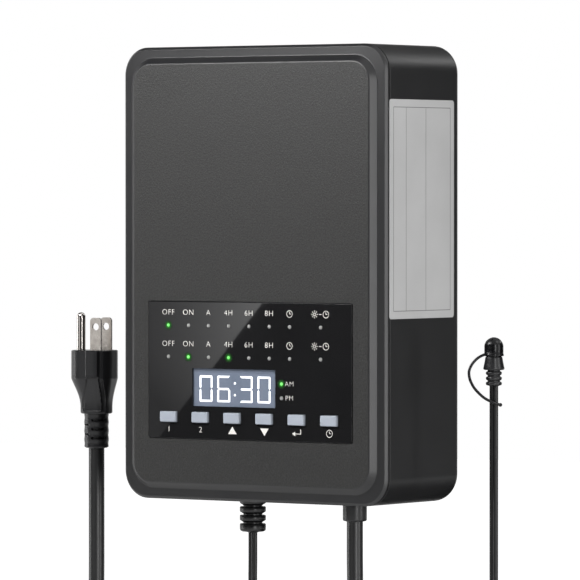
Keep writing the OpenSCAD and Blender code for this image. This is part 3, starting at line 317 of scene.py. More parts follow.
def empty_material(name: str) -> Material:
    """Make a material with an empty node tree.

    Args:
        name: the material's name.

    Returns:
        The material.
    """
    made = bpy.data.materials.new(name)
    made.use_nodes = True
    made.node_tree.nodes.clear()
    return made


# Finishes


@dataclass(frozen=True)
class Finish:
    """A surface: its colour, its gloss, and the grain and patches that its making leaves.

    Grain and patches are given in real millimetres.
    """

    name: str
    colour: str
    shade: str
    roughness: float = 0.5
    spread: float = 0.08
    metallic: float = 0.0
    ior: float = 1.5
    grain_mm: float = 0.5
    bump_mm: float = 0.02
    patch_mm: float = 30.0
    stretch: tuple[float, float, float] = (1.0, 1.0, 1.0)
    alpha: float = 1.0
    glow: float = 0.0

    def material(self) -> Material:
        """The finish as a material, made once."""
        return bpy.data.materials.get(self.name) or self.build()

    def build(self) -> Material:
        """Make the material.

        Returns:
            A material whose colour, roughness and relief come from noise in the part's own space.
        """
        made = empty_material(self.name)
        tree = made.node_tree
        place = add_node(tree, "TexCoord").outputs["Object"]
        space = add_node(tree, "Mapping", {"Scale": self.stretch}, {"Vector": place}).outputs[0]
        noise = {"Scale": 2 / (self.patch_mm * MM), "Detail": GLOSS_DETAIL}
        patches = add_node(tree, "TexNoise", noise, {"Vector": space}).outputs["Fac"]
        low, high = max(0.0, self.roughness - self.spread), min(1.0, self.roughness + self.spread)
        gloss = add_node(tree, "MapRange", {"To Min": low, "To Max": high}, {"Value": patches})
        bump = add_node(tree, "Bump", {"Distance": self.bump_mm * MM}, {"Height": self.relief(tree, space)})
        settings = {"Metallic": self.metallic, "IOR": self.ior, "Alpha": self.alpha}
        settings["Emission Strength"] = self.glow
        links = {"Base Color": self.tint(tree, space), "Roughness": gloss.outputs[0]}
        links["Normal"] = bump.outputs[0]
        shader = add_node(tree, "BsdfPrincipled", settings, links)
        if self.glow:
            shader.inputs["Emission Color"].default_value = srgb(self.colour)
        add_node(tree, "OutputMaterial", links={"Surface": shader.outputs[0]})
        return made

    def tint(self, tree: Tree, space: Socket) -> Socket:
        """Colour that drifts between the two tones in patches.

        Args:
            tree: the material's tree.
            space: the coordinates.

        Returns:
            The colour's socket.
        """
        settings = {"Scale": 1 / (self.patch_mm * MM), "Detail": COLOUR_DETAIL}
        noise = add_node(tree, "TexNoise", settings, {"Vector": space})
        ramp = add_node(tree, "ValToRGB", links={"Fac": noise.outputs["Fac"]})
        for stop, at, tone in zip(ramp.color_ramp.elements, TONE_ENDS, (self.colour, self.shade)):
            stop.position = at
            stop.color = srgb(tone)
        return ramp.outputs["Color"]

    def relief(self, tree: Tree, space: Socket) -> Socket:
        """Height of the grain."""
        settings = {"Scale": 1 / (self.grain_mm * MM), "Detail": GRAIN_DETAIL}
        return add_node(tree, "TexNoise", settings, {"Vector": space}).outputs["Fac"]


@dataclass(frozen=True)
class WoundWire(Finish):
    """Enamelled wire laid side by side, seen as fine straight ridges.

    A wave texture repeats every 0.314 of its unit, so a share of about that gives one ridge for each wire.
    """

    wire_mm: float = 1.2
    band_share: float = 0.32
    wander: float = 0.4

    def relief(self, tree: Tree, space: Socket) -> Socket:
        """Ridges about one wire apart, side by side along X.

        Args:
            tree: the material's tree.
            space: the coordinates.

        Returns:
            The height's socket.
        """
        settings = {"wave_type": "BANDS", "bands_direction": "X", "Distortion": self.wander}
        settings["Scale"] = self.band_share / (self.wire_mm * MM)
        return add_node(tree, "TexWave", settings, {"Vector": space}).outputs["Fac"]


@dataclass(frozen=True)
class CircuitBoard(Finish):
    """Glass epoxy under solder mask: copper tracks show as slightly lighter, raised blocks and lines."""

    track_mm: float = 3.0
    bare_share: float = 0.42
    scatter: float = 0.7

    def tint(self, tree: Tree, space: Socket) -> Socket:
        """Colour of the mask over tracks and over bare board."""
        settings = {"data_type": "RGBA", 6: srgb(self.colour), 7: srgb(self.shade)}
        return add_node(tree, "Mix", settings, {0: self.tracks(tree, space)}).outputs[2]

    def relief(self, tree: Tree, space: Socket) -> Socket:
        """Height of the tracks under the mask."""
        return self.tracks(tree, space)

    def tracks(self, tree: Tree, space: Socket) -> Socket:
        """Mask that is 1 on a track.

        Args:
            tree: the material's tree.
            space: the coordinates.

        Returns:
            The mask's socket.
        """
        settings = {"distance": "CHEBYCHEV", "Scale": 1 / (self.track_mm * MM), "Randomness": self.scatter}
        cells = add_node(tree, "TexVoronoi", settings, {"Vector": space}).outputs["Distance"]
        settings = {"operation": "GREATER_THAN", 1: self.bare_share}
        return add_node(tree, "Math", settings, {0: cells}).outputs[0]


@dataclass(frozen=True)
class DisplayFace(Finish):
    """Backlit display: blue grey, with the shade that the window's upper and left edges throw on it."""

    band: str = "#687181"
    left_mm: float = -35.3
    top_mm: float = -133.3

    def tint(self, tree: Tree, space: Socket) -> Socket:
        """Colour of the face, darker above and to the left.

        Args:
            tree: the material's tree.
            space: the coordinates.

        Returns:
            The colour's socket.
        """
        split = add_node(tree, "SeparateXYZ", links={0: space})
        above = {"operation": "GREATER_THAN", 1: self.top_mm * MM}
        high = add_node(tree, "Math", above, {0: split.outputs["Z"]}).outputs[0]
        left = {"operation": "LESS_THAN", 1: self.left_mm * MM}
        side = add_node(tree, "Math", left, {0: split.outputs["X"]}).outputs[0]
        shade = add_node(tree, "Math", {"operation": "MAXIMUM"}, {0: high, 1: side}).outputs[0]
        settings = {"data_type": "RGBA", 7: srgb(self.band)}
        links = {0: shade, 6: super().tint(tree, space)}
        return add_node(tree, "Mix", settings, links).outputs[2]


# ABS from a spark-eroded mould: a fine, even grain that breaks up reflections. A real grain of about 0.2 mm
# is too fine to show, so it is drawn at 0.65 mm
COVER_ABS = Finish(
    "textured_abs_cover", "#212121", "#2f2f2e", roughness=0.48, spread=0.06, grain_mm=0.65,
    bump_mm=0.2, patch_mm=0.85, stretch=(1, 1, 0.8), ior=1.4,
)
# The same ABS with a shallower grain, drawn as coarse: an even satin black with a soft sheen
HOUSING_ABS = Finish(
    "textured_abs_housing", "#151516", "#171718", roughness=0.42, spread=0.04, grain_mm=0.6,
    bump_mm=0.012,
)
# The flange is moulded smoother than the raised centre, so it catches thin highlights. Its colour is painted
# darker than the centre's: painted shade on the same ABS
SHADED_FLANGE_ABS = Finish(
    "satin_abs_flange_painted_shade", "#18181a", "#1b1b1c", roughness=0.37, spread=0.03, grain_mm=0.6,
    bump_mm=0.008,
)
# Polycarbonate panel, polished and printed from behind: a mirror-like black
GLOSS_PANEL = Finish(
    "polycarbonate_panel", "#1c1c1d", "#1e1e1f", roughness=0.015, spread=0.003, ior=1.55,
    grain_mm=40, bump_mm=0.001,
)
# Screen-printed ink: matt, so that it stays white whichever way the panel shines, with a faint painted glow
# that brightens it though no light is behind it
SCREEN_PRINT = Finish(
    "screen_printed_ink", "#e8e5e0", "#e0ddd8", roughness=0.5, grain_mm=0.4, bump_mm=0.001,
    glow=0.15,
)
# Backlit display behind clear plastic: a cool, even blue grey, with bright white segments
DISPLAY_GLASS = DisplayFace(
    "display_window_face", "#6d7788", "#778091", roughness=0.2, spread=0.02, bump_mm=0.001,
    patch_mm=14, glow=0.06,
)
DISPLAY_DIGIT = Finish("display_segment_light", "#ffffff", "#f6f9ff", roughness=0.6, bump_mm=0.001, glow=0.7)
# Moulded epoxy lenses: a lit diode glows green, and its light on the panel fades outwards in three rings
LIT_LENS = Finish("green_diode_lens_lit", "#6fe268", "#78ea70", roughness=0.3, bump_mm=0.001, glow=0.55)
LIT_HALO = Finish("green_spill_near", "#206a1c", "#206a1c", roughness=0.3, bump_mm=0.001, alpha=0.9, glow=0.5)
MID_HALO = Finish("green_spill_mid", "#144a10", "#144a10", roughness=0.3, bump_mm=0.001, alpha=0.8, glow=0.5)
FAINT_HALO = Finish(
    "green_spill_faint", "#103610", "#103610", roughness=0.3, bump_mm=0.001, alpha=0.5, glow=0.5,
)
# The same lens unlit, with a diffusing filler: a dull pale dot
DARK_LENS = Finish("diffused_diode_lens", "#a2a2a0", "#969694", roughness=0.4, bump_mm=0.001)
# ABS, moulded with a satin surface: a soft cool grey with no sharp reflections
BUTTON_ABS = Finish(
    "satin_abs_button", "#a6adb8", "#acb3be", roughness=0.4, spread=0.04, grain_mm=0.5,
    bump_mm=0.002,
)
# Polyester film with a silver back and grey print: flat and even, with a broad sheen
LABEL_FILM = Finish(
    "silver_polyester_film", "#b8b8b8", "#bdbdbd", roughness=0.42, spread=0.05, grain_mm=0.4,
    bump_mm=0.003,
)
LABEL_INK = Finish("label_ink", "#6e6e6e", "#747474", roughness=0.6, grain_mm=0.4, bump_mm=0.001)
# Nitrile foam: a dull black that reads as a dark seam
GASKET_RUBBER = Finish("nitrile_gasket", "#0c0c0c", "#101010", roughness=0.8, grain_mm=0.4, bump_mm=0.02)
# PVC, extruded round the cores: a smooth black with a soft line of light along it
CORD_PVC = Finish(
    "extruded_pvc_jacket", "#121213", "#151516", roughness=0.33, spread=0.05, grain_mm=1.5,
    bump_mm=0.006,
)
# The thin flat cord's PVC is a deeper black, with a faint sheen on its two ridges
TWIN_PVC = Finish(
    "flat_pvc_jacket", "#0a0a0b", "#0d0d0e", roughness=0.34, grain_mm=1.5, bump_mm=0.002, ior=1.4,
)
# PVC, injection moulded: a satin black whose edges show as soft light lines
PLUG_PVC = Finish(
    "moulded_pvc_plug", "#141415", "#18181a", roughness=0.34, spread=0.05, grain_mm=0.8,
    bump_mm=0.01, ior=1.45,
)
# PVC from a polished mould: the cap is a deep black with small, clear highlights
CAP_PVC = Finish(
    "polished_pvc_cap", "#08080a", "#0b0b0d", roughness=0.24, spread=0.02, grain_mm=20,
    bump_mm=0.001, ior=1.33,
)
# Nylon, moulded: a smooth black with a mild gloss
TIE_NYLON = Finish("nylon_tie", "#131313", "#171717", roughness=0.4, bump_mm=0.004)
# Brass, stamped and nickel plated: a warm silver, slightly uneven
BLADE_NICKEL = Finish(
    "nickel_plated_brass", "#d6d0c9", "#c4bdb6", roughness=0.3, spread=0.1, metallic=1.0,
    grain_mm=1.2, bump_mm=0.01, patch_mm=3,
)
# Brass, turned, plated and polished: clearer reflections than the blades have
PIN_NICKEL = Finish(
    "polished_nickel_pin", "#cfcac6", "#c4bfbb", roughness=0.12, spread=0.04, metallic=1.0,
    grain_mm=3, bump_mm=0.002,
)
# Steel, zinc plated: a dull bluish grey metal whose tone drifts
ZINC_STEEL = Finish(
    "zinc_plated_steel", "#b4b6b8", "#a3a5a8", roughness=0.32, metallic=1.0, grain_mm=0.6,
    bump_mm=0.006, patch_mm=4,
)
# Silicon steel strip, wound: a dark grey metal with fine lines round its outside
CORE_STEEL = Finish(
    "wound_silicon_steel", "#6d7074", "#585b5f", roughness=0.4, metallic=1.0, grain_mm=0.5,
    bump_mm=0.02, stretch=(0.1, 1, 0.1),
)
# Brass, turned or stamped: a yellow metal with soft reflections
TURNED_BRASS = Finish(
    "turned_brass", "#c9a24e", "#b98f3c", roughness=0.26, metallic=1.0, grain_mm=0.5, bump_mm=0.006,
)
# Copper wire, enamelled and wound: fine ridges with a warm, varnished gloss
WINDING_COPPER = WoundWire(
    "enamelled_copper_wire", "#a4502a", "#8c3f1e", roughness=0.28, metallic=0.85, bump_mm=0.15,
    patch_mm=20,
)
# Polyester tape, lapped: a yellow gloss with long, soft folds
POLYESTER_TAPE = Finish(
    "polyester_tape", "#d3ab38", "#c99f2e", roughness=0.25, grain_mm=8, bump_mm=0.15,
    stretch=(1, 0.15, 1),
)
# Glass epoxy, etched and masked: copper tracks show as lighter, raised shapes under the green
BOARD_MASK = CircuitBoard("solder_masked_board", "#14532f", "#1d6b3f", roughness=0.3, bump_mm=0.04)
# Glass-filled nylon, moulded: a matt charcoal with a fine grain
MOULDED_BLACK = Finish(
    "glass_filled_nylon_black", "#202022", "#262628", roughness=0.5, grain_mm=0.5, bump_mm=0.01,
)
# Nylon, moulded in its natural colour: a creamy white with a mild gloss
HEADER_NYLON = Finish("natural_nylon", "#e3dccb", "#d9d1be", roughness=0.4, bump_mm=0.006)
# PVC, extruded over wires 1.27 mm apart: fine lines along the grey ribbon
RIBBON_PVC = Finish(
    "grey_ribbon_pvc", "#8d9094", "#84878b", roughness=0.45, grain_mm=1.27, bump_mm=0.1,
    stretch=(1, 0.02, 0.02),
)
# ABS, moulded smooth: a glossy blue case
RELAY_ABS = Finish("blue_relay_case", "#1f4f9e", "#23559f", roughness=0.3, bump_mm=0.006)
# Glass, drawn as a tube: clear, with sharp reflections
FUSE_GLASS = Finish(
    "fuse_glass", "#dfe6e8", "#d5dde0", roughness=0.06, spread=0.02, bump_mm=0.001, alpha=0.45,
)
# PVC sleeve, shrunk over the capacitor's can: a dark blue gloss
CAN_SLEEVE = Finish("capacitor_sleeve", "#1b2030", "#202638", roughness=0.3, bump_mm=0.004)
# PVC, extruded on hook-up wire: dark red and grey in long patches
WIRE_PVC = Finish("hook_up_wire_pvc", "#7a2c26", "#37373a", roughness=0.4, bump_mm=0.004, patch_mm=16)

# Matt black cloth over the studio's flags: it throws back next to no light
FLAG_CLOTH = Finish("black_flag", "#040404", "#050505", roughness=1.0, bump_mm=0.001, ior=1.05)

NODE_FINISHES: dict[str, Finish] = {
    "cover_gasket": GASKET_RUBBER,
    "cover_screws": ZINC_STEEL,
    "display_module": DISPLAY_GLASS,
    "control_board": BOARD_MASK,
    "switch_bases": MOULDED_BLACK,
    "controller_chip": MOULDED_BLACK,
    "board_headers": HEADER_NYLON,
    "ribbon_cable": RIBBON_PVC,
    "board_screws": ZINC_STEEL,
    "toroid_core": CORE_STEEL,
    "primary_winding": WINDING_COPPER,
    "secondary_winding": WINDING_COPPER,
    "toroid_tape": POLYESTER_TAPE,
    "toroid_pads": GASKET_RUBBER,
    "toroid_washer": ZINC_STEEL,
    "toroid_bolt": ZINC_STEEL,
    "toroid_insert": TURNED_BRASS,
    "power_board": BOARD_MASK,
    "relays": RELAY_ABS,
    "thermal_breakers": MOULDED_BLACK,
    "fuse": FUSE_GLASS,
    "fuse_clips": ZINC_STEEL,
    "filter_capacitor": CAN_SLEEVE,
    "spade_tabs": ZINC_STEEL,
    "terminal_block": MOULDED_BLACK,
    "terminal_contacts": TURNED_BRASS,
    **{f"terminal_clamp_{n}": ZINC_STEEL for n in (1, 2, 3, 4)},
    "bushing_nut": MOULDED_BLACK,
    "internal_wires": WIRE_PVC,
    "plug_blades": BLADE_NICKEL,
    "ground_pin": PIN_NICKEL,
}


def dress_nodes() -> None:
    """Give each node that stays shown the finish of its real material."""
    for name, finish in NODE_FINISHES.items():
        node = frame["nodes"][name]
        for place in node.material_slots:
            place.material = finish.material()
        LOG.info("%s keeps its solid, in %s", name, finish.name)


# Camera, light and floor


def spans(given: Spot, wanted: Spot) -> dict[str, float]:
    """Settings that map one range to another."""
    return dict(zip(("From Min", "From Max", "To Min", "To Max"), (*given, *wanted)))


def facing(at: Point, aim: Point) -> Matrix:
    """Turn of a card at one point that faces another."""
    return (Vector(aim) - Vector(at)).to_track_quat("Z", "Y").to_matrix().to_4x4()


@dataclass(frozen=True)
class Lamp:
    """A softbox: its name, place, aim, width, height and power in watts."""

    name: str
    at: Point
    aim: Point
    w: float
    h: float
    power: float


@dataclass(frozen=True)
class Flag:
    """A dark card: its name, place, width and height, and whether it lies level or faces the object."""

    name: str
    at: Point
    w: float
    h: float
    level: bool = False


@dataclass
class Studio:
    """A pale floor, soft lamps, dark flags and a long lens at the photograph's angle."""

    camera_at: Point = (1663.5, -2384.9, -42.1)
    aim_at: Point = (-0.47, -35.24, -90.73)
    lens: float = 342.66
    sensor: float = 36.0
    sight_m: float = 50.0
    floor_z: float = -520.0
    floor_size: float = 12000.0
    floor_colour: str = "#e6e6e6"
    fade_m: Spot = (0.3, 2.2)
    fade: Spot = (0.6, 1.0)
    ambient: float = 0.16
    centre: Point = (0, -35, -60)
    pale_edge: Point = (-1107.6, -1572.5, -177.8)
    pale_rise: Point = (-0.732, 0, 0.681)
    pale_lean: float = -47.0
    pale_w: float = 700.0
    pale_h: float = 260.0
    pale_x_m: Spot = (-0.075, 0.06)
    pale_y_m: Spot = (-0.13, -0.04)
    pale_glow: Spot = (1.7, 0.42)
    pale_base: float = 0.3
    blades_at: Point = (-430, -1510, -150)
    blades_aim: Point = (-127, -35, -110)
    blades_w: float = 560.0
    blades_h: float = 420.0
    blades_glow: float = 0.8
    lamps: tuple[Lamp, ...] = (
        Lamp("near_left", (-250, -430, 230), (-10, -72, 0), 160, 130, 1.75),
        Lamp("near_front", (-25, -320, 160), (0, -72, -30), 160, 100, 0.6),
        Lamp("near_top", (-120, -330, 330), (-10, -72, 0), 260, 140, 0.3),
        Lamp("left_strip", (-1100, -450, -40), (-84, -60, -80), 150, 1000, 3.0),
        Lamp("right_strip", (1150, -800, 0), (60, -60, -80), 200, 1100, 7.6),
        Lamp("side_strip", (1300, 150, -40), (84, -35, -80), 150, 1000, 3.3),
        Lamp("top_side", (700, 100, 700), (84, -35, -60), 400, 400, 1.6),
        Lamp("back_strip", (620, 1200, 640), (84, -35, 20), 700, 140, 1.5),
    )
    flags: tuple[Flag, ...] = (
        Flag("front_flag", (-1306, -1844, -60), 3000, 2600),
        Flag("side_flag", (1500, 2060, -60), 3200, 2600),
        Flag("top_flag", (-925, -70, 1306), 1600, 1600),
        Flag("camera_flag", (1940, -2670, -60), 4400, 4200),
        Flag("back_flag", (-625, 2040, 1250), 2000, 1200),
        Flag("low_flag", (300, 675, -505), 1200, 1050, level=True),
    )

    def build(self) -> None:
        """Make the camera, the world, the lamps, the cards and the floor."""
        self.camera()
        self.world()
        self.floor()
        for lamp in self.lamps:
            self.light(lamp)
        self.cards()
        bpy.context.scene.view_settings.view_transform = "Standard"

    def camera(self) -> None:
        """Make the camera and hand it to the scene."""
        data = bpy.data.cameras.new("photo_view")
        data.lens = self.lens
        data.sensor_width = self.sensor
        data.clip_end = self.sight_m
        obj = bpy.data.objects.new("photo_view", data)
        obj.location = Vector(self.camera_at) * MM
        way = (Vector(self.aim_at) - Vector(self.camera_at)) * MM
        obj.rotation_euler = way.to_track_quat("-Z", "Y").to_euler()
        bpy.context.scene.collection.objects.link(obj)
        bpy.context.scene.camera = obj

    def seen(self, tree: Tree) -> Socket:
        """Mask that is 1 for rays from the camera, from a mirror-like face or through glass.

        Args:
            tree: the material's or the world's tree.

        Returns:
            The mask's socket.
        """
        rays = add_node(tree, "LightPath").outputs
        either = {"operation": "MAXIMUM"}
        straight = {0: rays["Is Camera Ray"], 1: rays["Is Glossy Ray"]}
        first = add_node(tree, "Math", either, straight).outputs[0]
        return add_node(tree, "Math", either, {0: first, 1: rays["Is Transmission Ray"]}).outputs[0]

    def world(self) -> None:
        """A dim grey surround for the light, and a white one for what is seen."""
        world = bpy.data.worlds.new("studio")
        world.use_nodes = True
        tree = world.node_tree
        tree.nodes.clear()
        soft = add_node(tree, "Background", {"Color": WHITE, "Strength": self.ambient}).outputs[0]
        white = add_node(tree, "Background", {"Color": WHITE, "Strength": 1.0}).outputs[0]
        mix = add_node(tree, "MixShader", links={0: self.seen(tree), 1: soft, 2: white})
        add_node(tree, "OutputWorld", links={"Surface": mix.outputs[0]})
        bpy.context.scene.world = world

    def floor(self) -> None:
        """A pale floor below the hanging cords, which keeps the shadow and fades to white further out."""
        made = empty_material("pale_floor")
        tree = made.node_tree
        place = add_node(tree, "TexCoord").outputs["Object"]
        away = add_node(tree, "VectorMath", {"operation": "LENGTH"}, {0: place})
        fade = add_node(tree, "MapRange", spans(self.fade_m, self.fade), {"Value": away.outputs["Value"]})
        links = {0: fade.outputs[0], 1: self.seen(tree)}
        white = add_node(tree, "Math", {"operation": "MULTIPLY"}, links)
        matt = add_node(tree, "BsdfDiffuse", {"Color": srgb(self.floor_colour)})
        glow = add_node(tree, "Emission", {"Color": WHITE}, {"Strength": white.outputs[0]})
        both = add_node(tree, "AddShader", links={0: matt.outputs[0], 1: glow.outputs[0]})
        add_node(tree, "OutputMaterial", links={"Surface": both.outputs[0]})
        self.card("floor", (0, 0, self.floor_z), Matrix.Identity(4), self.floor_size, self.floor_size, made)

    def cards(self) -> None:
        """Dark flags that keep the black faces black, and pale cards that the panel and the blades mirror."""
        black = FLAG_CLOTH.material()
        for flag in self.flags:
            turn = Matrix.Identity(4) if flag.level else facing(flag.at, self.centre)
            card = self.card(flag.name, flag.at, turn, flag.w, flag.h, black)
            card.visible_diffuse = card.visible_shadow = card.visible_transmission = False
        lean = Matrix.Rotation(math.radians(self.pale_lean), 4, "Y") @ UPRIGHT
        middle = Vector(self.pale_edge) + Vector(self.pale_rise) * (self.pale_h / 2)
        self.card("pale_card", middle, lean, self.pale_w, self.pale_h, self.pale())
        glow = self.glow_card("blade_card", self.blades_glow)
        turn = facing(self.blades_at, self.blades_aim)
        self.card("blade_card", self.blades_at, turn, self.blades_w, self.blades_h, glow)

    def glow_card(self, name: str, strength: float) -> Material:
        """Glow of an evenly lit white card.

        Args:
            name: the material's name.
            strength: how bright it is.

        Returns:
            The material.
        """
        made = empty_material(name)
        glow = add_node(made.node_tree, "Emission", {"Color": WHITE, "Strength": strength})
        add_node(made.node_tree, "OutputMaterial", links={"Surface": glow.outputs[0]})
        return made

    def pale(self) -> Material:
        """Glow that varies over the card: brighter with its X, and brightest along its low Y edge.

        Returns:
            The material.
        """
        made = empty_material("pale_card")
        tree = made.node_tree
        place = add_node(tree, "TexCoord").outputs["Object"]
        split = add_node(tree, "SeparateXYZ", links={0: place})
        ranges = spans(self.pale_x_m, (0.0, 1.0)), spans(self.pale_y_m, self.pale_glow)
        along = add_node(tree, "MapRange", ranges[0], {"Value": split.outputs["X"]}).outputs[0]
        across = add_node(tree, "MapRange", ranges[1], {"Value": split.outputs["Y"]}).outputs[0]
        settings = {"operation": "MULTIPLY_ADD", 2: self.pale_base}
        both = add_node(tree, "Math", settings, {0: along, 1: across})
        glow = add_node(tree, "Emission", {"Color": WHITE}, {"Strength": both.outputs[0]})
        add_node(tree, "OutputMaterial", links={"Surface": glow.outputs[0]})
        return made

    def card(
        self, name: str, at: Sequence[float], turn: Matrix, w: float, h: float, finish: Material
    ) -> Piece:
        """A flat card of the studio.

        Args:
            name: its name.
            at: its centre.
            turn: how a card that lies flat is turned.
            w: its width.
            h: its height.
            finish: its material.

        Returns:
            The card.
        """
        bm = bmesh.new()
        corners = ((-1, -1), (1, -1), (1, 1), (-1, 1))
        bm.faces.new([bm.verts.new(Vector((x * w / 2, y * h / 2, 0)) * MM) for x, y in corners])
        obj = new_object(name, bm)
        obj.data.materials.append(finish)
        obj.matrix_world = Matrix.Translation(Vector(at) * MM) @ turn
        obj.visible_camera = name == "floor"
        return obj

    def light(self, lamp: Lamp) -> None:
        """Hang one softbox.

        Args:
            lamp: its name, place, aim, size and power.
        """
        data = bpy.data.lights.new(lamp.name, "AREA")
        data.shape = "RECTANGLE"
        data.size = lamp.w * MM
        data.size_y = lamp.h * MM
        data.energy = lamp.power
        obj = bpy.data.objects.new(lamp.name, data)
        obj.location = Vector(lamp.at) * MM
        obj.rotation_euler = ((Vector(lamp.aim) - Vector(lamp.at)) * MM).to_track_quat("-Z", "Y").to_euler()
        obj.visible_camera = False
        bpy.context.scene.collection.objects.link(obj)


# Cords


def smooth_route(points: Sequence[Sequence[float]], parts: int) -> Ring:
    """A smooth line through given points.

    Args:
        points: the points.
        parts: segments between two of them.

    Returns:
        Points of a Catmull-Rom line, the given ones among them.
    """
    p = [Vector(v) for v in points]
    p = [2 * p[0] - p[1], *p, 2 * p[-1] - p[-2]]
    line = []
    for i in range(1, len(p) - 2):
        for k in range(parts):
            t = k / parts
            a = 2 * p[i]
            b = p[i + 1] - p[i - 1]
            c = 2 * p[i - 1] - 5 * p[i] + 4 * p[i + 1] - p[i + 2]
            d = 3 * p[i] - p[i - 1] - 3 * p[i + 1] + p[i + 2]
            line.append(0.5 * (a + b * t + c * t * t + d * t * t * t))
    line.append(p[-2])
    return line


def route_length(line: Sequence[Vector]) -> float:
    """Length of a line of points."""
    return sum((b - a).length for a, b in zip(line, line[1:]))


@dataclass
class Coil:
    """Spare cord in a round coil: it winds in, climbs a layer where it turns back, and winds out again."""

    x: float
    y: float
    r: float
    pitch: float
    layer: float
    turns: float
    start: float
    way: int
    z: float = -330.0
    climb: float = 0.25
    steps: int = 48

    def line(self) -> Ring:
        """Points of the coil's turns, in order."""
        return [self.point(i / self.steps) for i in range(int(self.turns * self.steps) + 1)]

    def point(self, q: float) -> Vector:
        """Point of the cord's middle.

        Args:
            q: how many turns come before it.

        Returns:
            The point.
        """
        a = math.radians(self.start + self.way * 360 * q)
        s = self.r - self.pitch * min(q, self.turns - q)
        c = min(1.0, max(0.0, (q - self.turns / 2 + self.climb) / (2 * self.climb)))
        y = self.y - self.layer / 2 * self.way * math.cos(math.pi * c)
        return Vector((self.x + s * math.cos(a), y, self.z + s * math.sin(a)))


def sweep(line: Sequence[Vector], section: Profile, turns: Sequence[float]) -> Mesh:
    """Carry a section along a line.

    Args:
        line: the points of the line.
        section: the section's points, across and along its thickness.
        turns: swing of the section about the line at each point, in degrees.

    Returns:
        The tube.
    """
    rings = []
    for i, p in enumerate(line):
        t = (line[min(i + 1, len(line) - 1)] - line[max(i - 1, 0)]).normalized()
        a = Vector((0, 1, 0)).cross(t).normalized()
        b = t.cross(a)
        c, s = math.cos(math.radians(turns[i])), math.sin(math.radians(turns[i]))
        rings.append([p + a * (u * c - v * s) + b * (u * s + v * c) for u, v in section])
    return loft(rings)


def between(values: Profile, at: float) -> float:
    """Value at a place along a table, level past its ends.

    Args:
        values: pairs of a place and its value, in order.
        at: the place.

    Returns:
        The value there.
    """
    for (x0, v0), (x1, v1) in zip(values, values[1:]):
        if at < x1:
            return v0 + (v1 - v0) * max(0.0, (at - x0) / (x1 - x0))
    return values[-1][1]


@dataclass
class MainsLead:
    """The round three-core lead, from its bushing to the plug, with the spare tied in a coil."""

    diameter: float = 8.5
    length: float = 1.55
    sides: int = 20
    parts: int = 5
    plug_end: Point = (-127.5, -35, -176.4)
    down: Route = (
        (40.5, -35, -210), (40.5, -35, -228), (40.5, -35, -247), (38.5, -34.6, -260),
        (32, -33.8, -271), (23.5, -32.8, -280.5), (14.5, -31.8, -289.5), (9, -31, -301),
    )
    up: Route = (
        (-104.5, -39, -302.5), (-109, -38.3, -292.5), (-115, -37.2, -284), (-121.5, -36.2, -276),
        (-126, -35.4, -266), (-127.5, -35, -255), (-127.5, -35, -236), (-127.5, -35, -217),
        (-127.5, -35, -197),
    )
    coil: Coil = field(
        default_factory=lambda: Coil(
            x=-48, y=-35, r=55, pitch=9.3, layer=9.1, turns=4.5, start=0, way=-1
        )
    )
    path: Ring = field(default_factory=list)

    def line(self) -> Ring:
        """Trace the cord's middle from end to end.

        Returns:
            Its points.
        """
        loops = self.coil.line()
        rise = Vector((0, 0, self.diameter))
        lead_in = smooth_route([*self.down, loops[0] + 2 * rise, loops[0] + rise], self.parts)
        out = [loops[-1] + rise, loops[-1] + 2 * rise, *self.up, self.plug_end]
        lead_out = smooth_route(out, self.parts)
        return lead_in + loops + lead_out

    def build(self) -> Piece:
        """Make the lead as one round tube.

        Returns:
            The lead.
        """
        line = self.line()
        section = circle(self.diameter / 2, self.sides)
        obj = new_object("mains_lead", sweep(line, section, [0.0] * len(line)))
        dress(obj, CORD_PVC, nodes=("lead_out", "lead_coil", "lead_to_plug"))
        self.path = [p * MM for p in line]
        LOG.info("mains lead is %.0f mm long", route_length(line))
        return obj

    def declare(self, obj: Piece, others: Sequence[Piece]) -> None:
        """Do nothing: the cord and its pieces are not declared.

        Args:
            obj: the cord; not used.
            others: the pieces on it; not used.
        """


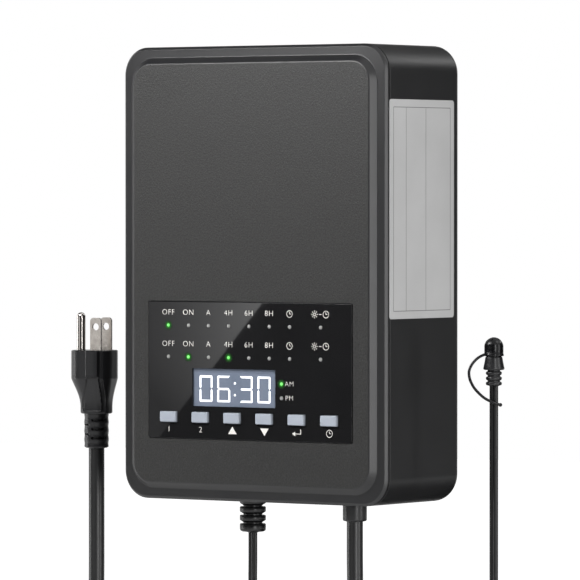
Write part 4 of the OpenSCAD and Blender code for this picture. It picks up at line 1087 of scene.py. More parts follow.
@dataclass
class SensorCord:
    """The flat two-core cord, from its relief to the light sensor, with the spare tied in a coil."""

    width: float = 5.2
    thick: float = 2.6
    web: float = 1.1
    length: float = 1.57
    parts: int = 5
    lobe_steps: int = 12
    flat_turn: float = -90.0
    out_turn: float = -192.0
    out_points: int = 6
    sensor_end: Point = (126.4, -35, -138.1)
    down: Route = (
        (-24.5, -35, -217.8), (-24.5, -35, -232), (-24.5, -35, -246), (-22.5, -35.6, -257),
        (-16.5, -37, -266.5), (-7, -39, -273), (3, -40.6, -278), (12.5, -41.8, -282.5),
        (22, -42.8, -289), (28, -43.5, -298.5), (30, -43.8, -309.5),
    )
    up: Route = (
        (96.5, -37.8, -308.5), (104, -37.2, -299.5), (110.5, -36.6, -295), (117, -36, -290.5),
        (124, -35.3, -281.5), (126.4, -35, -270.5), (126.4, -35, -257), (126.4, -35, -243),
        (126.4, -35, -229), (126.4, -35, -215), (126.4, -35, -201), (126.4, -35, -187),
        (126.4, -35, -173), (126.4, -35, -159), (126.4, -35, -147),
    )
    coil: Coil = field(
        default_factory=lambda: Coil(
            x=62, y=-41, r=32, pitch=3.2, layer=5.8, turns=7.5, start=180, way=1
        )
    )
    path: Ring = field(default_factory=list)

    def section(self) -> list[Spot]:
        """Two round lobes side by side, joined by a thin web that leaves a groove on each face.

        Returns:
            The points of the section, across and along its thickness.
        """
        r = self.thick / 2
        out = self.width / 2 - r
        edge = math.degrees(math.asin(self.web / 2 / r))
        swing, steps = 360 - 2 * edge, self.lobe_steps
        angles = [math.radians(-180 + edge + swing * k / steps) for k in range(steps + 1)]
        right = [(out + r * math.cos(a), r * math.sin(a)) for a in angles]
        return right + [(-x, -y) for x, y in right]

    def build(self) -> Piece:
        """Make the cord as one tube of two lobes.

        Returns:
            The cord.
        """
        loops = self.coil.line()
        rise = Vector((0, 0, self.width))
        parts, flat = self.parts, self.flat_turn
        lead_in = smooth_route([*self.down, loops[0] + rise], parts)
        lead_out = smooth_route([loops[-1] + rise, *self.up, self.sensor_end], parts)
        swing = ((2, 0), (len(self.down) - 1, flat))
        turns = [between(swing, i / parts) for i in range(len(lead_in))] + [flat] * len(loops)
        swing = ((0, flat), (self.out_points, self.out_turn))
        turns += [between(swing, i / parts) for i in range(len(lead_out))]
        line = lead_in + loops + lead_out
        obj = new_object("sensor_cord", sweep(line, self.section(), turns))
        nodes = ("sensor_cord_out", "sensor_coil", "sensor_cord_end")
        dress(obj, TWIN_PVC, nodes=nodes, crease=50)
        self.path = [p * MM for p in line]
        LOG.info("sensor cord is %.0f mm long", route_length(line))
        return obj

    def declare(self, obj: Piece, others: Sequence[Piece]) -> None:
        """Do nothing: the cord and its pieces are not declared.

        Args:
            obj: the cord; not used.
            others: the pieces on it; not used.
        """


@dataclass
class CoilTies:
    """Nylon strap ties round a coil: a closed band with soft edges, and a square head."""

    name: str
    node: str
    coil: Coil
    wide: float
    thick: float
    band: float = 1.2
    width: float = 5.0
    gap: float = 0.4
    head: float = 6.0
    head_r: float = 0.8
    head_steps: int = 4
    head_lean: float = 0.25
    band_r: float = 1.5
    band_steps: int = 6
    shares: tuple[float, float] = (0.62, 0.88)
    edges: Spots = ((0.0, -1.0), (0.35, -1.0), (1.0, -0.7), (1.0, 0.7), (0.35, 1.0), (0.0, 1.0))
    levels: Spots = ((0.0, 0.6), (0.4, 0.0), (2.4, 0.0), (2.8, 0.4))

    def build(self) -> Piece:
        """Make both ties as one piece."""
        obj = new_object(self.name, joined([part for s in self.shares for part in self.tie(s)]))
        return dress(obj, TIE_NYLON, nodes=(self.node,))

    def tie(self, share: float) -> list[Mesh]:
        """One tie.

        Args:
            share: where it sits, as a share of a turn.

        Returns:
            Its band and its head.
        """
        c = self.coil
        passes = [share + n for n in range(int(c.turns - share) + 1)]
        radii = [c.r - c.pitch * min(q, c.turns - q) for q in passes]
        low = min(radii) - self.thick / 2 - self.gap
        high = max(radii) + self.thick / 2 + self.gap
        deep = c.layer + self.wide + 2 * self.gap
        angle = math.radians(c.start + c.way * 360 * share)
        place = Matrix.Translation((c.x, c.y, c.z)) @ Matrix.Rotation(-angle, 4, "Y")
        middle = (low + high) / 2
        rings = []
        for grow, side in self.edges:
            g = 2 * self.band * grow
            flat = rounded_rect(high - low + g, deep + g, self.band_r + g / 2, self.band_steps)
            rings.append([place @ Vector((middle + x, y, side * self.width / 2)) for x, y in flat])
        band = loft(rings, closed=True)
        head = rounded_rect(self.head, self.head, self.head_r, self.head_steps)
        rings = []
        for up, inset in self.levels:
            k = 1 - inset * self.head_lean
            rings.append([place @ Vector((high + self.band / 2 + up, x * k, y * k)) for x, y in head])
        return [band, loft(rings)]


# Box


@dataclass
class Box:
    """Sizes that the housing, the cover and the panel share."""

    w: float = 167.0
    h: float = 236.0
    mid_z: float = -82.0
    corner: float = 14.5
    wall: float = 2.6
    rim_y: float = -66.4
    flange_y: float = -69.0
    face_y: float = -72.3
    inner_y: float = -69.5
    pillar_x: float = 71.9
    pillar_z: float = 106.4
    cord_y: float = -35.0

    @property
    def bottom(self) -> float:
        """Height of the box's underside."""
        return self.mid_z - self.h / 2

    @property
    def wells(self) -> list[Spot]:
        """Places of the four screw wells."""
        return [(sx * self.pillar_x, self.mid_z + sz * self.pillar_z) for sx, sz in CORNERS]


@dataclass
class Housing:
    """Moulded ABS shell, open to the front, with keyholes, screw wells and the terminal bay.

    A pair whose name ends in _y gives the depths between which a post, a pocket or a bore runs, and window_z
    gives heights above the underside.
    """

    box: Box
    front_y: float = -65.8
    front_ease: float = 0.15
    back_round: float = 5.5
    back_wall: float = 3.2
    past: float = 1.0
    key_x: float = 50.0
    key_r: float = 2.6
    key_steps: int = 12
    entry_r: float = 5.0
    entry_drop: float = 11.0
    pocket_wall: float = 1.8
    pocket_y: Spot = (-2.0, -9.1)
    room_wall: float = 0.6
    room_y: Spot = (-3.0, -7.7)
    well_r: float = 4.6
    well_y: Spot = (-2.0, -62.1)
    head_r: float = 3.6
    head_y: Spot = (1.0, -46.0)
    shank_r: float = 1.75
    shank_y: Spot = (-45.0, -63.0)
    cord_hole_r: float = 5.35
    cord_hole_x: Spot = (40.5, -24.5)
    cord_hole_up: float = 4.0
    bay_x: float = 7.5
    bay_w: float = 41.0
    bay_d: float = 30.0
    bay_h: float = 24.0
    bay_wall: float = 1.6
    bay_foot: float = 1.3
    bay_roof: float = 6.0
    window_w: float = 33.0
    window_d: float = 15.4
    window_z: Spot = (10.0, 25.0)

    def build(self) -> Piece:
        """Make the shell, then add what stands in it and cut what goes through it.

        Returns:
            The housing.
        """
        b, wells = self.box, self.box.wells
        obj = new_object("housing_shell", self.shell())
        wall, room = self.entry_r + self.pocket_wall, self.entry_r + self.room_wall
        posts = [rod_y(x, z, *self.well_y, self.well_r) for x, z in wells]
        posts += self.keyholes(wall, wall, self.pocket_y)
        grow = 2 * self.bay_wall
        posts.append(self.over_bay(self.bay_w + grow, self.bay_d + grow, (self.bay_foot, self.bay_h)))
        carve(obj, posts, Cut.ADD)
        cuts = [rod_y(x, z, *self.head_y, self.head_r) for x, z in wells]
        cuts += self.keyholes(self.key_r, self.entry_r, (self.past, -self.back_wall))
        carve(obj, cuts, Cut.TAKE)
        cuts = [rod_y(x, z, *self.shank_y, self.shank_r) for x, z in wells]
        cuts += self.keyholes(room, room, self.room_y)
        low, high = b.bottom - self.past, b.bottom + self.cord_hole_up
        cuts += [rod_z(x, b.cord_y, low, high, self.cord_hole_r) for x in self.cord_hole_x]
        cuts.append(self.over_bay(self.bay_w, self.bay_d, (-self.past, self.bay_h - self.bay_roof)))
        carve(obj, cuts, Cut.TAKE)
        carve(obj, [self.over_bay(self.window_w, self.window_d, self.window_z)], Cut.TAKE)
        return dress(obj, HOUSING_ABS, nodes=("rear_housing",), flat=True)

    def keyholes(self, top_r: float, foot_r: float, depths: Spot) -> list[Mesh]:
        """Prisms of both keyholes, or of what lies round them."""
        return [self.slot(s * self.key_x, top_r, foot_r, *depths) for s in (-1, 1)]

    def over_bay(self, w: float, d: float, heights: Spot) -> Mesh:
        """A block over the terminal bay's middle, between two heights above the underside.

        Args:
            w: its width.
            d: its depth.
            heights: its foot and its top.

        Returns:
            The block.
        """
        b, x = self.box, self.bay_x
        low = (x - w / 2, b.cord_y - d / 2, b.bottom + heights[0])
        return block(low, (x + w / 2, b.cord_y + d / 2, b.bottom + heights[1]))

    def shell(self) -> Mesh:
        """The walls: a deep tray with a rolled back edge and an eased front edge.

        Returns:
            The tray.
        """
        b = self.box
        rings = []
        for inset, rise in reversed(roll(self.back_round, 8)):
            rings.append(self.outline(inset, -self.back_round + rise))
        ease = self.front_ease
        rings += [self.outline(0.0, self.front_y + ease), self.outline(ease, self.front_y)]
        rings += [self.outline(b.wall, self.front_y), self.outline(b.wall, -self.back_wall)]
        return loft(rings)

    def outline(self, inset: float, y: float) -> Ring:
        """The box's outline drawn in by inset, at depth y."""
        b = self.box
        return front_ring(b.w - 2 * inset, b.h - 2 * inset, b.corner - inset, y, b.mid_z, steps=BOX_STEPS)

    def slot(self, x: float, top_r: float, foot_r: float, y0: float, y1: float) -> Mesh:
        """A keyhole's prism: a round top at the seat, a round foot at the entry and a neck between them.

        Args:
            x: the seat's place.
            top_r: radius at the seat, and half of the neck's width.
            foot_r: radius of the entry.
            y0: depth of its back face.
            y1: depth of its front face.

        Returns:
            The prism.
        """
        join = math.asin(min(1.0, top_r / foot_r))
        steps = self.key_steps
        tops = [math.pi * i / steps for i in range(steps + 1)]
        points = [(x + top_r * math.cos(a), top_r * math.sin(a)) for a in tops]
        round_foot = 2 * math.pi - 2 * join
        for i in range(2 * steps + 1):
            a = math.pi / 2 + join + round_foot * i / (2 * steps)
            points.append((x + foot_r * math.cos(a), -self.entry_drop + foot_r * math.sin(a)))
        return loft([[Vector((px, y, pz)) for px, pz in points] for y in (y0, y1)])


@dataclass
class Panel:
    """Places of the lights, the window and the buttons, and the glossy plate itself."""

    box: Box
    w: float = 129.0
    h: float = 71.0
    z: float = -132.3
    front_y: float = -72.5
    back_y: float = -70.9
    edge: float = 0.1
    corner: float = 0.8
    past: float = 1.0
    row: int = 8
    hole_r: float = 1.15
    hole_sides: int = 20
    light_x: float = -51.8
    light_pitch: float = 12.9
    light_last: float = 45.0
    light_z: float = -109.0
    row_pitch: float = 16.4
    noon_x: float = 20.5
    noon_z: float = -138.4
    noon_pitch: float = 7.3
    window_x: float = -9.9
    window_z: float = -141.1
    window_w: float = 53.0
    window_h: float = 19.8
    button_x: float = -51.4
    button_z: float = -156.7
    button_pitch: float = 20.4
    button_w: float = 10.2
    button_h: float = 5.5
    button_gap: float = 0.3
    buttons: int = 6
    lit: tuple[tuple[int, int], ...] = ((0, 0), (1, 1), (1, 3))

    def row_light(self, row: int, i: int) -> tuple[float, float]:
        """Place of a light in one of the two rows."""
        x = self.light_last if i == self.row - 1 else self.light_x + i * self.light_pitch
        return (x, self.light_z - row * self.row_pitch)

    def lights(self, lit: bool) -> list[Spot]:
        """Places of all lit or all dark lights.

        Args:
            lit: whether the lit ones are asked for.

        Returns:
            The places.
        """
        spots = [(r, i) for r in (0, 1) for i in range(self.row) if ((r, i) in self.lit) == lit]
        noon_z = self.noon_z if lit else self.noon_z - self.noon_pitch
        return [self.row_light(r, i) for r, i in spots] + [(self.noon_x, noon_z)]

    def holes(self, y0: float, y1: float) -> list[Mesh]:
        """Cutters for the lights, the window and the buttons.

        Args:
            y0: the depth behind.
            y1: the depth in front.

        Returns:
            The cutters.
        """
        spots = self.lights(True) + self.lights(False)
        cuts = [rod_y(x, z, y0, y1, self.hole_r, self.hole_sides) for x, z in spots]
        gap = self.button_gap
        places = [(self.window_x, self.window_z, self.window_w / 2, self.window_h / 2)]
        for i in range(self.buttons):
            x = self.button_x + i * self.button_pitch
            places.append((x, self.button_z, self.button_w / 2 + gap, self.button_h / 2 + gap))
        return cuts + [block((x - u, y1, z - v), (x + u, y0, z + v)) for x, z, u, v in places]

    def build(self) -> Piece:
        """Make the plate, with soft edges and all its holes.

        Returns:
            The plate.
        """
        rings = [front_ring(self.w, self.h, self.corner, self.back_y, self.z)]
        for inset, rise in roll(self.edge):
            w, h, r = self.w - 2 * inset, self.h - 2 * inset, self.corner - inset
            rings.append(front_ring(w, h, r, self.front_y + self.edge - rise, self.z))
        obj = new_object("panel_plate", loft(rings))
        carve(obj, self.holes(self.back_y + self.past, self.front_y - self.past), Cut.TAKE)
        return dress(obj, GLOSS_PANEL, nodes=("panel_overlay",), flat=True)


@dataclass
class Cover:
    """Moulded ABS front: a flange with a rolled rim, a sloped step and the raised centre.

    The pairs of inside, lip_in and lip_out are an inset and a corner radius, those of rim and brow an inset
    and a depth behind the surface.
    """

    box: Box
    panel: Panel
    inside: Spot = (9.6, 10.0)
    lip_in: Spot = (4.7, 9.8)
    lip_out: Spot = (2.9, 11.6)
    lip_deep: float = 4.0
    seam: float = 0.3
    rim: Spots = ((0.0, 1.5), (0.1, 1.25), (1.25, 0.1), (1.5, 0.0))
    flange: float = 5.6
    foot_r: float = 14.2
    foot_back: float = 0.25
    foot_ease: float = 0.2
    slope: float = 3.2
    top_r: float = 10.5
    brow: Spots = ((-0.55, 0.57), (-0.1, 0.19), (0.3, 0.03), (0.75, 0.0))
    recess_r: float = 1.05
    recess_ease: float = 0.1
    recess_grow: Spot = (0.5, 0.42)
    post_sides: int = 24
    well_r: float = 4.6
    well_y: float = -62.4
    well_in: float = 1.3
    post_r: float = 3.0
    post_y: float = -61.0
    post_in: float = 0.7
    post_at: Spot = (61.9, 29.4)

    def ring(self, inset: float, r: float, y: float) -> Ring:
        """The box's outline drawn in by inset, with its own corner radius, at depth y."""
        b = self.box
        return front_ring(b.w - 2 * inset, b.h - 2 * inset, r, y, b.mid_z, steps=BOX_STEPS)

    def build(self) -> Piece:
        """Make the cover from the hollow behind it, round the rim, to the recess of the panel.

        Returns:
            The cover.
        """
        b, p = self.box, self.panel
        deep = b.rim_y + self.lip_deep
        rings = [self.ring(*self.inside, b.inner_y), self.ring(*self.inside, b.rim_y)]
        rings += [self.ring(*self.lip_in, b.rim_y), self.ring(*self.lip_in, deep)]
        rings += [self.ring(*self.lip_out, deep), self.ring(*self.lip_out, b.rim_y)]
        rings += [self.ring(self.seam, b.corner - self.seam, b.rim_y)]
        rings += [self.ring(0.0, b.corner, b.rim_y - self.seam)]
        for inset, back in self.rim:
            rings.append(self.ring(inset, b.corner - inset, b.flange_y + back))
        back, ease = self.foot_back, self.foot_ease
        rings += [self.ring(self.flange - back, self.foot_r + back, b.flange_y)]
        rings += [self.ring(self.flange + ease, self.foot_r - ease, b.flange_y - ease)]
        for out, back in self.brow:
            rings.append(self.ring(self.flange + self.slope + out, self.top_r - out, b.face_y + back))
        wide, close = self.recess_grow
        for grow, y in ((wide, b.face_y), (close, b.face_y + self.recess_ease), (close, p.back_y)):
            rings.append(front_ring(p.w + 2 * grow, p.h + 2 * grow, self.recess_r, y, p.z, steps=BOX_STEPS))
        obj = new_object("cover_shell", loft(rings))
        carve(obj, self.posts(), Cut.ADD)
        carve(obj, p.holes(b.inner_y + p.past, p.back_y - p.past), Cut.TAKE)
        dress(obj, COVER_ABS, nodes=("front_cover",), flat=True)
        # Flange, rim and slopes take the darker copy of the cover's ABS: painted shade on the one moulding
        obj.data.materials.append(SHADED_FLANGE_ABS.material())
        edge = (b.face_y + self.recess_ease) * MM
        for face in obj.data.polygons:
            face.material_index = int(face.center.y > edge)
        return obj

    def posts(self) -> list[Mesh]:
        """Posts behind the cover, for its four screws and for the board's.

        Returns:
            The eight posts.
        """
        b, p, n = self.box, self.panel, self.post_sides
        far_x, far_z = self.post_at
        own = [rod_y(x, z, self.well_y, b.rim_y - self.well_in, self.well_r, n) for x, z in b.wells]
        board = [(sx * far_x, p.z + sz * far_z) for sx, sz in CORNERS]
        return own + [rod_y(x, z, self.post_y, b.inner_y - self.post_in, self.post_r, n) for x, z in board]


# What the panel shows


@dataclass
class Clock:
    """Four digits of seven mitred segments, and the colon."""

    panel: Panel
    h: float = 13.7
    w: float = 8.2
    stroke: float = 1.05
    gap: float = 0.42
    pitch: float = 11.35
    colon: float = 2.95
    shift_x: float = 0.25
    shift_z: float = -0.6
    front_y: float = -71.66
    deep: float = 0.13
    dot_r: float = 0.62
    dot_rise: float = 3.05
    dot_sides: int = 20
    shown: tuple[str, ...] = ("abcdef", "acdefg", "abcdg", "abcdef")

    def build(self) -> Piece:
        """Make all the lit segments as one piece.

        Returns:
            The digits and the colon.
        """
        parts = []
        x, z = self.panel.window_x + self.shift_x, self.panel.window_z + self.shift_z
        for i, shown in enumerate(self.shown):
            at = x + (i - 1.5) * self.pitch + (-1 if i < 2 else 1) * self.colon / 2
            parts += [self.segment(at, self.shapes()[name]) for name in shown]
        y0, y1 = self.front_y, self.front_y + self.deep
        for s in (-1, 1):
            parts.append(rod_y(x, z + s * self.dot_rise, y0, y1, self.dot_r, self.dot_sides))
        obj = new_object("clock_digits", joined(parts))
        return dress(obj, DISPLAY_DIGIT, nodes=("display_digits",))

    def shapes(self) -> dict[str, list[Spot]]:
        """Outline of each segment about the digit's centre: mitred at the corners, pointed at the middle.

        Returns:
            The outlines by the segment's letter, from a at the top to g in the middle.
        """
        x, z, t, g = self.w / 2, self.h / 2, self.stroke, self.gap / 2
        top = [(-x + g, z), (x - g, z), (x - t - g, z - t), (-x + t + g, z - t)]
        side = [(x, z - g), (x, t / 2 + g), (x - t / 2, g), (x - t, t / 2 + g), (x - t, z - t - g)]
        tip, end, half = x - t / 2 - g, x - t, t / 2
        bar = [(-tip, 0), (-end, half), (end, half), (tip, 0), (end, -half), (-end, -half)]
        return {
            "a": top, "b": side, "c": [(u, -v) for u, v in side], "d": [(u, -v) for u, v in top],
            "e": [(-u, -v) for u, v in side], "f": [(-u, v) for u, v in side], "g": bar,
        }

    def segment(self, x: float, outline: Profile) -> Mesh:
        """One lit bar.

        Args:
            x: the digit's centre.
            outline: the bar's outline about it.

        Returns:
            The bar.
        """
        z = self.panel.window_z + self.shift_z
        levels = (self.front_y + self.deep, self.front_y)
        return loft([[Vector((x + u, y, z + v)) for u, v in outline] for y in levels])


@dataclass
class StatusLights:
    """Diodes behind the panel: a body on the board and a small domed lens in each hole."""

    panel: Panel
    lit_r: float = 0.85
    dark_r: float = 0.98
    tip_y: float = -72.8
    dome: float = 0.4
    dome_steps: int = 7
    sides: int = 20
    stem: Spots = ((1.5, 61.0), (1.5, 68.9), (1.3, 69.15))
    neck: float = 69.2
    spill: tuple[float, ...] = (0.8, 1.3, 1.85, 2.4)
    spill_sides: int = 24
    spill_lift: float = 0.02

    def build(self) -> list[Piece]:
        """Make the lit lights, the dark ones and the light that spills.

        Returns:
            The three pieces.
        """
        lit = self.group("lights_lit", self.lit_r, LIT_LENS, "status_leds_lit")
        dark = self.group("lights_dark", self.dark_r, DARK_LENS, "status_leds_dark")
        return [lit, dark, self.halos()]

    def halos(self) -> Piece:
        """Green light that spills on the glossy panel round each lit lens.

        Returns:
            The flat rings of light, fainter from ring to ring.
        """
        lights = self.panel.lights(True)
        y = self.panel.front_y - self.spill_lift
        parts = []
        for x, z in lights:
            rings = [front_circle(x, y, z, r, self.spill_sides) for r in self.spill]
            parts.append(loft(rings, (False, False)))
        obj = dress(new_object("light_spill", joined(parts)), LIT_HALO)
        for finish in (MID_HALO, FAINT_HALO):
            obj.data.materials.append(finish.material())
        for face in obj.data.polygons:
            x, z = face.center.x / MM, face.center.z / MM
            out = min(math.hypot(x - u, z - v) for u, v in lights)
            face.material_index = int(out > self.spill[1]) + int(out > self.spill[2])
        return obj

    def group(self, name: str, tip_r: float, finish: Finish, node: str) -> Piece:
        """Make one group of lights.

        Args:
            name: the piece's name.
            tip_r: the radius of their tips.
            finish: their surface.
            node: the node that they stand for.

        Returns:
            The piece.
        """
        profile = [*self.stem, (tip_r, self.neck)]
        foot = -self.tip_y - self.dome
        angles = [math.pi / 2 * i / self.dome_steps for i in range(self.dome_steps)]
        profile += [(tip_r * math.cos(a), foot + self.dome * math.sin(a)) for a in angles]
        parts = []
        for x, z in self.panel.lights(finish is LIT_LENS):
            place = Matrix.Translation((x, 0, z)) @ UPRIGHT
            parts.append(loft(turned(profile, self.sides, place)))
        return dress(new_object(name, joined(parts)), finish, nodes=(node,))


@dataclass
class PushButton:
    """A satin cap with eased edges, its lip behind the cover and its stem."""

    panel: Panel
    name: str
    place: int
    node: str
    body: str
    top_y: float = -73.9
    edge: float = 0.5
    corner: float = 0.7
    least: float = 0.25
    lip_y: float = -69.2
    lip_w: float = 12.8
    lip_h: float = 8.1
    lip_r: float = 0.4
    lip_deep: float = 1.2
    stem_r: float = 1.6
    stem_y: float = -63.7
    stem_sides: int = 24
    bite: float = 0.1

    def build(self) -> Piece:
        """Make the button.

        Returns:
            The button.
        """
        p = self.panel
        x = p.button_x + self.place * p.button_pitch
        behind = self.lip_y + self.lip_deep
        rings = [self.ring(self.lip_w, self.lip_h, self.lip_r, y, x) for y in (behind, self.lip_y)]
        rings.append(self.ring(p.button_w, p.button_h, self.corner, self.lip_y, x))
        for inset, rise in roll(self.edge):
            w, h, r = p.button_w - 2 * inset, p.button_h - 2 * inset, self.corner - inset
            rings.append(self.ring(w, h, max(self.least, r), self.top_y + self.edge - rise, x))
        stem = rod_y(x, p.button_z, self.stem_y, behind + self.bite, self.stem_r, self.stem_sides)
        obj = new_object(self.name, joined([loft(rings), stem]))
        return dress(obj, BUTTON_ABS, self.body, (self.node,), flat=True)

    def ring(self, w: float, h: float, r: float, y: float, x: float) -> Ring:
        """A rounded rectangle of the button at depth y, centred on x."""
        return front_ring(w, h, r, y, self.panel.button_z, x, SMALL_STEPS)


@dataclass
class Legends:
    """White print on the panel: plain numbers, ON and OFF, AM and PM, and simple marks."""

    panel: Panel
    y: float = -72.53
    size: float = 3.3
    row_rise: float = 6.7
    drop: float = 6.5
    line: float = 0.28
    sides: int = 24
    clock_r: float = 1.9
    key_clock_r: float = 2.0
    key_size: float = 3.4
    sun_x: float = -3.7
    dash: Point = (-0.1, 1.6, 0.3)
    late_clock_x: float = 3.4
    noon_size: float = 2.9
    noon_gap: float = 5.0
    letter_scale: float = 1.25
    letter_wide: float = 1.06
    letter_space: float = 1.12
    letter_thin: float = -0.06
    hour_hand: Spot = (0.3, 0.7)
    minute_hand: Spot = (0.22, 0.55)
    sun: Point = (0.85, 1.3, 2.05)
    rays: int = 8
    arrow_head: Point = (2.7, 1.7, 2.2)
    enter_head: Spots = ((-2.9, -0.6), (-1.0, -1.8), (-1.0, 0.6))
    enter_bars: tuple[tuple[float, float, float, float], ...] = ((0.8, -0.6, 3.6, 0.4), (2.4, 0.7, 0.4, 2.2))
    words: tuple[str, ...] = ("OFF", "ON", "A", "4H", "6H", "8H")

    def build(self) -> Piece:
        """Make all the print as one piece.

        Returns:
            The print.
        """
        p = self.panel
        parts = []
        for row in (0, 1):
            parts += self.row_print(row)
        for word, z in (("AM", p.noon_z), ("PM", p.noon_z - p.noon_pitch)):
            parts.append(self.word(word, p.noon_x + self.noon_gap, z, self.noon_size))
        z = p.button_z - self.drop
        xs = [p.button_x + i * p.button_pitch for i in range(p.buttons)]
        parts += [self.word("1", xs[0], z, self.key_size), self.word("2", xs[1], z, self.key_size)]
        parts += [self.arrow(xs[2], z, 1), self.arrow(xs[3], z, -1)]
        parts += self.enter_mark(xs[4], z) + self.clock_mark(xs[5], z, self.key_clock_r)
        return dress(new_object("panel_print", joined(parts)), SCREEN_PRINT)

    def row_print(self, row: int) -> list[Mesh]:
        """Print over one row of lights: the words, a clock, and a sun with a clock.

        Args:
            row: 0 for the upper row, 1 for the lower.

        Returns:
            The patches of print.
        """
        parts = []
        for i, word in enumerate(self.words):
            x, z = self.panel.row_light(row, i)
            parts.append(self.word(word, x, z + self.row_rise))
        x, z = self.panel.row_light(row, len(self.words))
        parts += self.clock_mark(x, z + self.row_rise, self.clock_r)
        x, z = self.panel.row_light(row, self.panel.row - 1)
        z += self.row_rise
        shift, w, h = self.dash
        parts += [*self.sun_mark(x + self.sun_x, z), self.bar(x + shift, z, w, h)]
        return parts + self.clock_mark(x + self.late_clock_x, z, self.clock_r)

    def flat(self, points: Profile) -> Mesh:
        """A flat patch of print.

        Args:
            points: its outline.

        Returns:
            The patch.
        """
        bm = bmesh.new()
        bm.faces.new([bm.verts.new(Vector((x, self.y, z)) * MM) for x, z in points])
        return bm

    def word(self, text: str, x: float, z: float, size: float = 0.0) -> Mesh:
        """A word or number.

        Args:
            text: what it reads.
            x: its centre.
            z: its centre.
            size: its letter size.

        Returns:
            The flat letters.
        """
        curve = bpy.data.curves.new("word", "FONT")
        curve.body = text
        curve.size = (size or self.size) * self.letter_scale
        curve.align_x = "CENTER"
        curve.align_y = "CENTER"
        curve.resolution_u = 3
        curve.space_character = self.letter_space
        curve.offset = self.letter_thin
        obj = bpy.data.objects.new("word", curve)
        mesh = bpy.data.meshes.new_from_object(obj)
        bpy.data.objects.remove(obj)
        bpy.data.curves.remove(curve)
        place = Matrix.Translation(Vector((x, self.y, z)) * MM) @ UPRIGHT
        mesh.transform(place @ Matrix.Diagonal((self.letter_wide * MM, MM, MM, 1)))
        bm = bmesh.new()
        bm.from_mesh(mesh)
        bpy.data.meshes.remove(mesh)
        return bm

    def bar(self, x: float, z: float, w: float, h: float) -> Mesh:
        """A straight bar."""
        x0, x1, z0, z1 = x - w / 2, x + w / 2, z - h / 2, z + h / 2
        return self.flat([(x0, z0), (x1, z0), (x1, z1), (x0, z1)])

    def circle(self, x: float, z: float, r: float) -> Mesh:
        """A thin circle of print."""
        rings = [front_circle(x, self.y, z, s, self.sides) for s in (r, r - self.line)]
        return loft(rings, (False, False))

    def clock_mark(self, x: float, z: float, r: float) -> list[Mesh]:
        """A clock face with two hands."""
        (up, tall), (over, wide) = self.hour_hand, self.minute_hand
        hands = [self.bar(x, z + r * up, self.line, r * tall), self.bar(x + r * over, z, r * wide, self.line)]
        return [self.circle(x, z, r), *hands]

    def sun_mark(self, x: float, z: float) -> list[Mesh]:
        """A thin circle with short rays.

        Args:
            x: its centre.
            z: its centre.

        Returns:
            The circle and the rays.
        """
        disc, near, far = self.sun
        parts = [self.circle(x, z, disc)]
        for k in range(self.rays):
            a = 2 * math.pi * k / self.rays
            u, v = Vector((math.cos(a), math.sin(a))), Vector((-math.sin(a), math.cos(a))) * self.line / 2
            ends = (u * near - v, u * far - v, u * far + v, u * near + v)
            parts.append(self.flat([(x + p.x, z + p.y) for p in ends]))
        return parts

    def arrow(self, x: float, z: float, way: int) -> Mesh:
        """A solid arrow head that points up or down."""
        wide, foot, tip = self.arrow_head
        points = [(x - wide, z - foot * way), (x + wide, z - foot * way), (x, z + tip * way)]
        return self.flat(points if way > 0 else points[::-1])

    def enter_mark(self, x: float, z: float) -> list[Mesh]:
        """An arrow that comes down and turns to the left."""
        head = self.flat([(x + u, z + v) for u, v in self.enter_head])
        return [head, *(self.bar(x + u, z + v, w, h) for u, v, w, h in self.enter_bars)]


@dataclass
class SideLabel:
    """Blank silver film on the right side, with a thin printed frame and ruled rows."""

    w: float = 59.0
    h: float = 112.0
    y: float = -37.1
    z: float = -48.4
    x: float = 83.5
    thick: float = 0.28
    corner: float = 1.5
    sunk: float = 0.05
    ease: float = 0.08
    frame_in: Spot = (3.5, 4.0)
    frame_line: float = 0.35
    row_line: float = 0.3
    rows: Spot = (-14.5, 3.5)
    ink: float = 0.012

    def build(self) -> list[Piece]:
        """Make the film and its rules.

        Returns:
            The film and the ink.
        """
        outline = rounded_rect(self.w, self.h, self.corner, SMALL_STEPS)
        face = self.x + self.thick
        rings = []
        for x, inset in ((self.x - self.sunk, 0), (face - self.ease, 0), (face, self.ease)):
            k = 1 - 2 * inset / self.w
            rings.append([Vector((x, self.y + u * k, self.z + v * k)) for u, v in outline])
        film = new_object("label_film", loft(rings))
        dress(film, LABEL_FILM, nodes=("side_label",))
        (u, v), line = self.frame_in, self.frame_line
        rules = [self.rule(0, s * (self.h / 2 - v), self.w - 2 * u, line) for s in (-1, 1)]
        rules += [self.rule(s * (self.w / 2 - u), 0, line, self.h - 2 * v) for s in (-1, 1)]
        rules += [self.rule(row, 0, self.row_line, self.h - 2 * v) for row in self.rows]
        ink = dress(new_object("label_rules", joined(rules)), LABEL_INK)
        return [film, ink]

    def rule(self, u: float, v: float, w: float, h: float) -> Mesh:
        """A printed line.

        Args:
            u: its centre across from the label's.
            v: its centre up from the label's.
            w: its width.
            h: its height.

        Returns:
            The line.
        """
        x = self.x + self.thick + self.ink
        y, z = self.y + u, self.z + v
        y0, y1, z0, z1 = y - w / 2, y + w / 2, z - h / 2, z + h / 2
        bm = bmesh.new()
        bm.faces.new([bm.verts.new(Vector((x, *p)) * MM) for p in ((y0, z0), (y1, z0), (y1, z1), (y0, z1))])
        return bm


# Pieces at the cords' ends


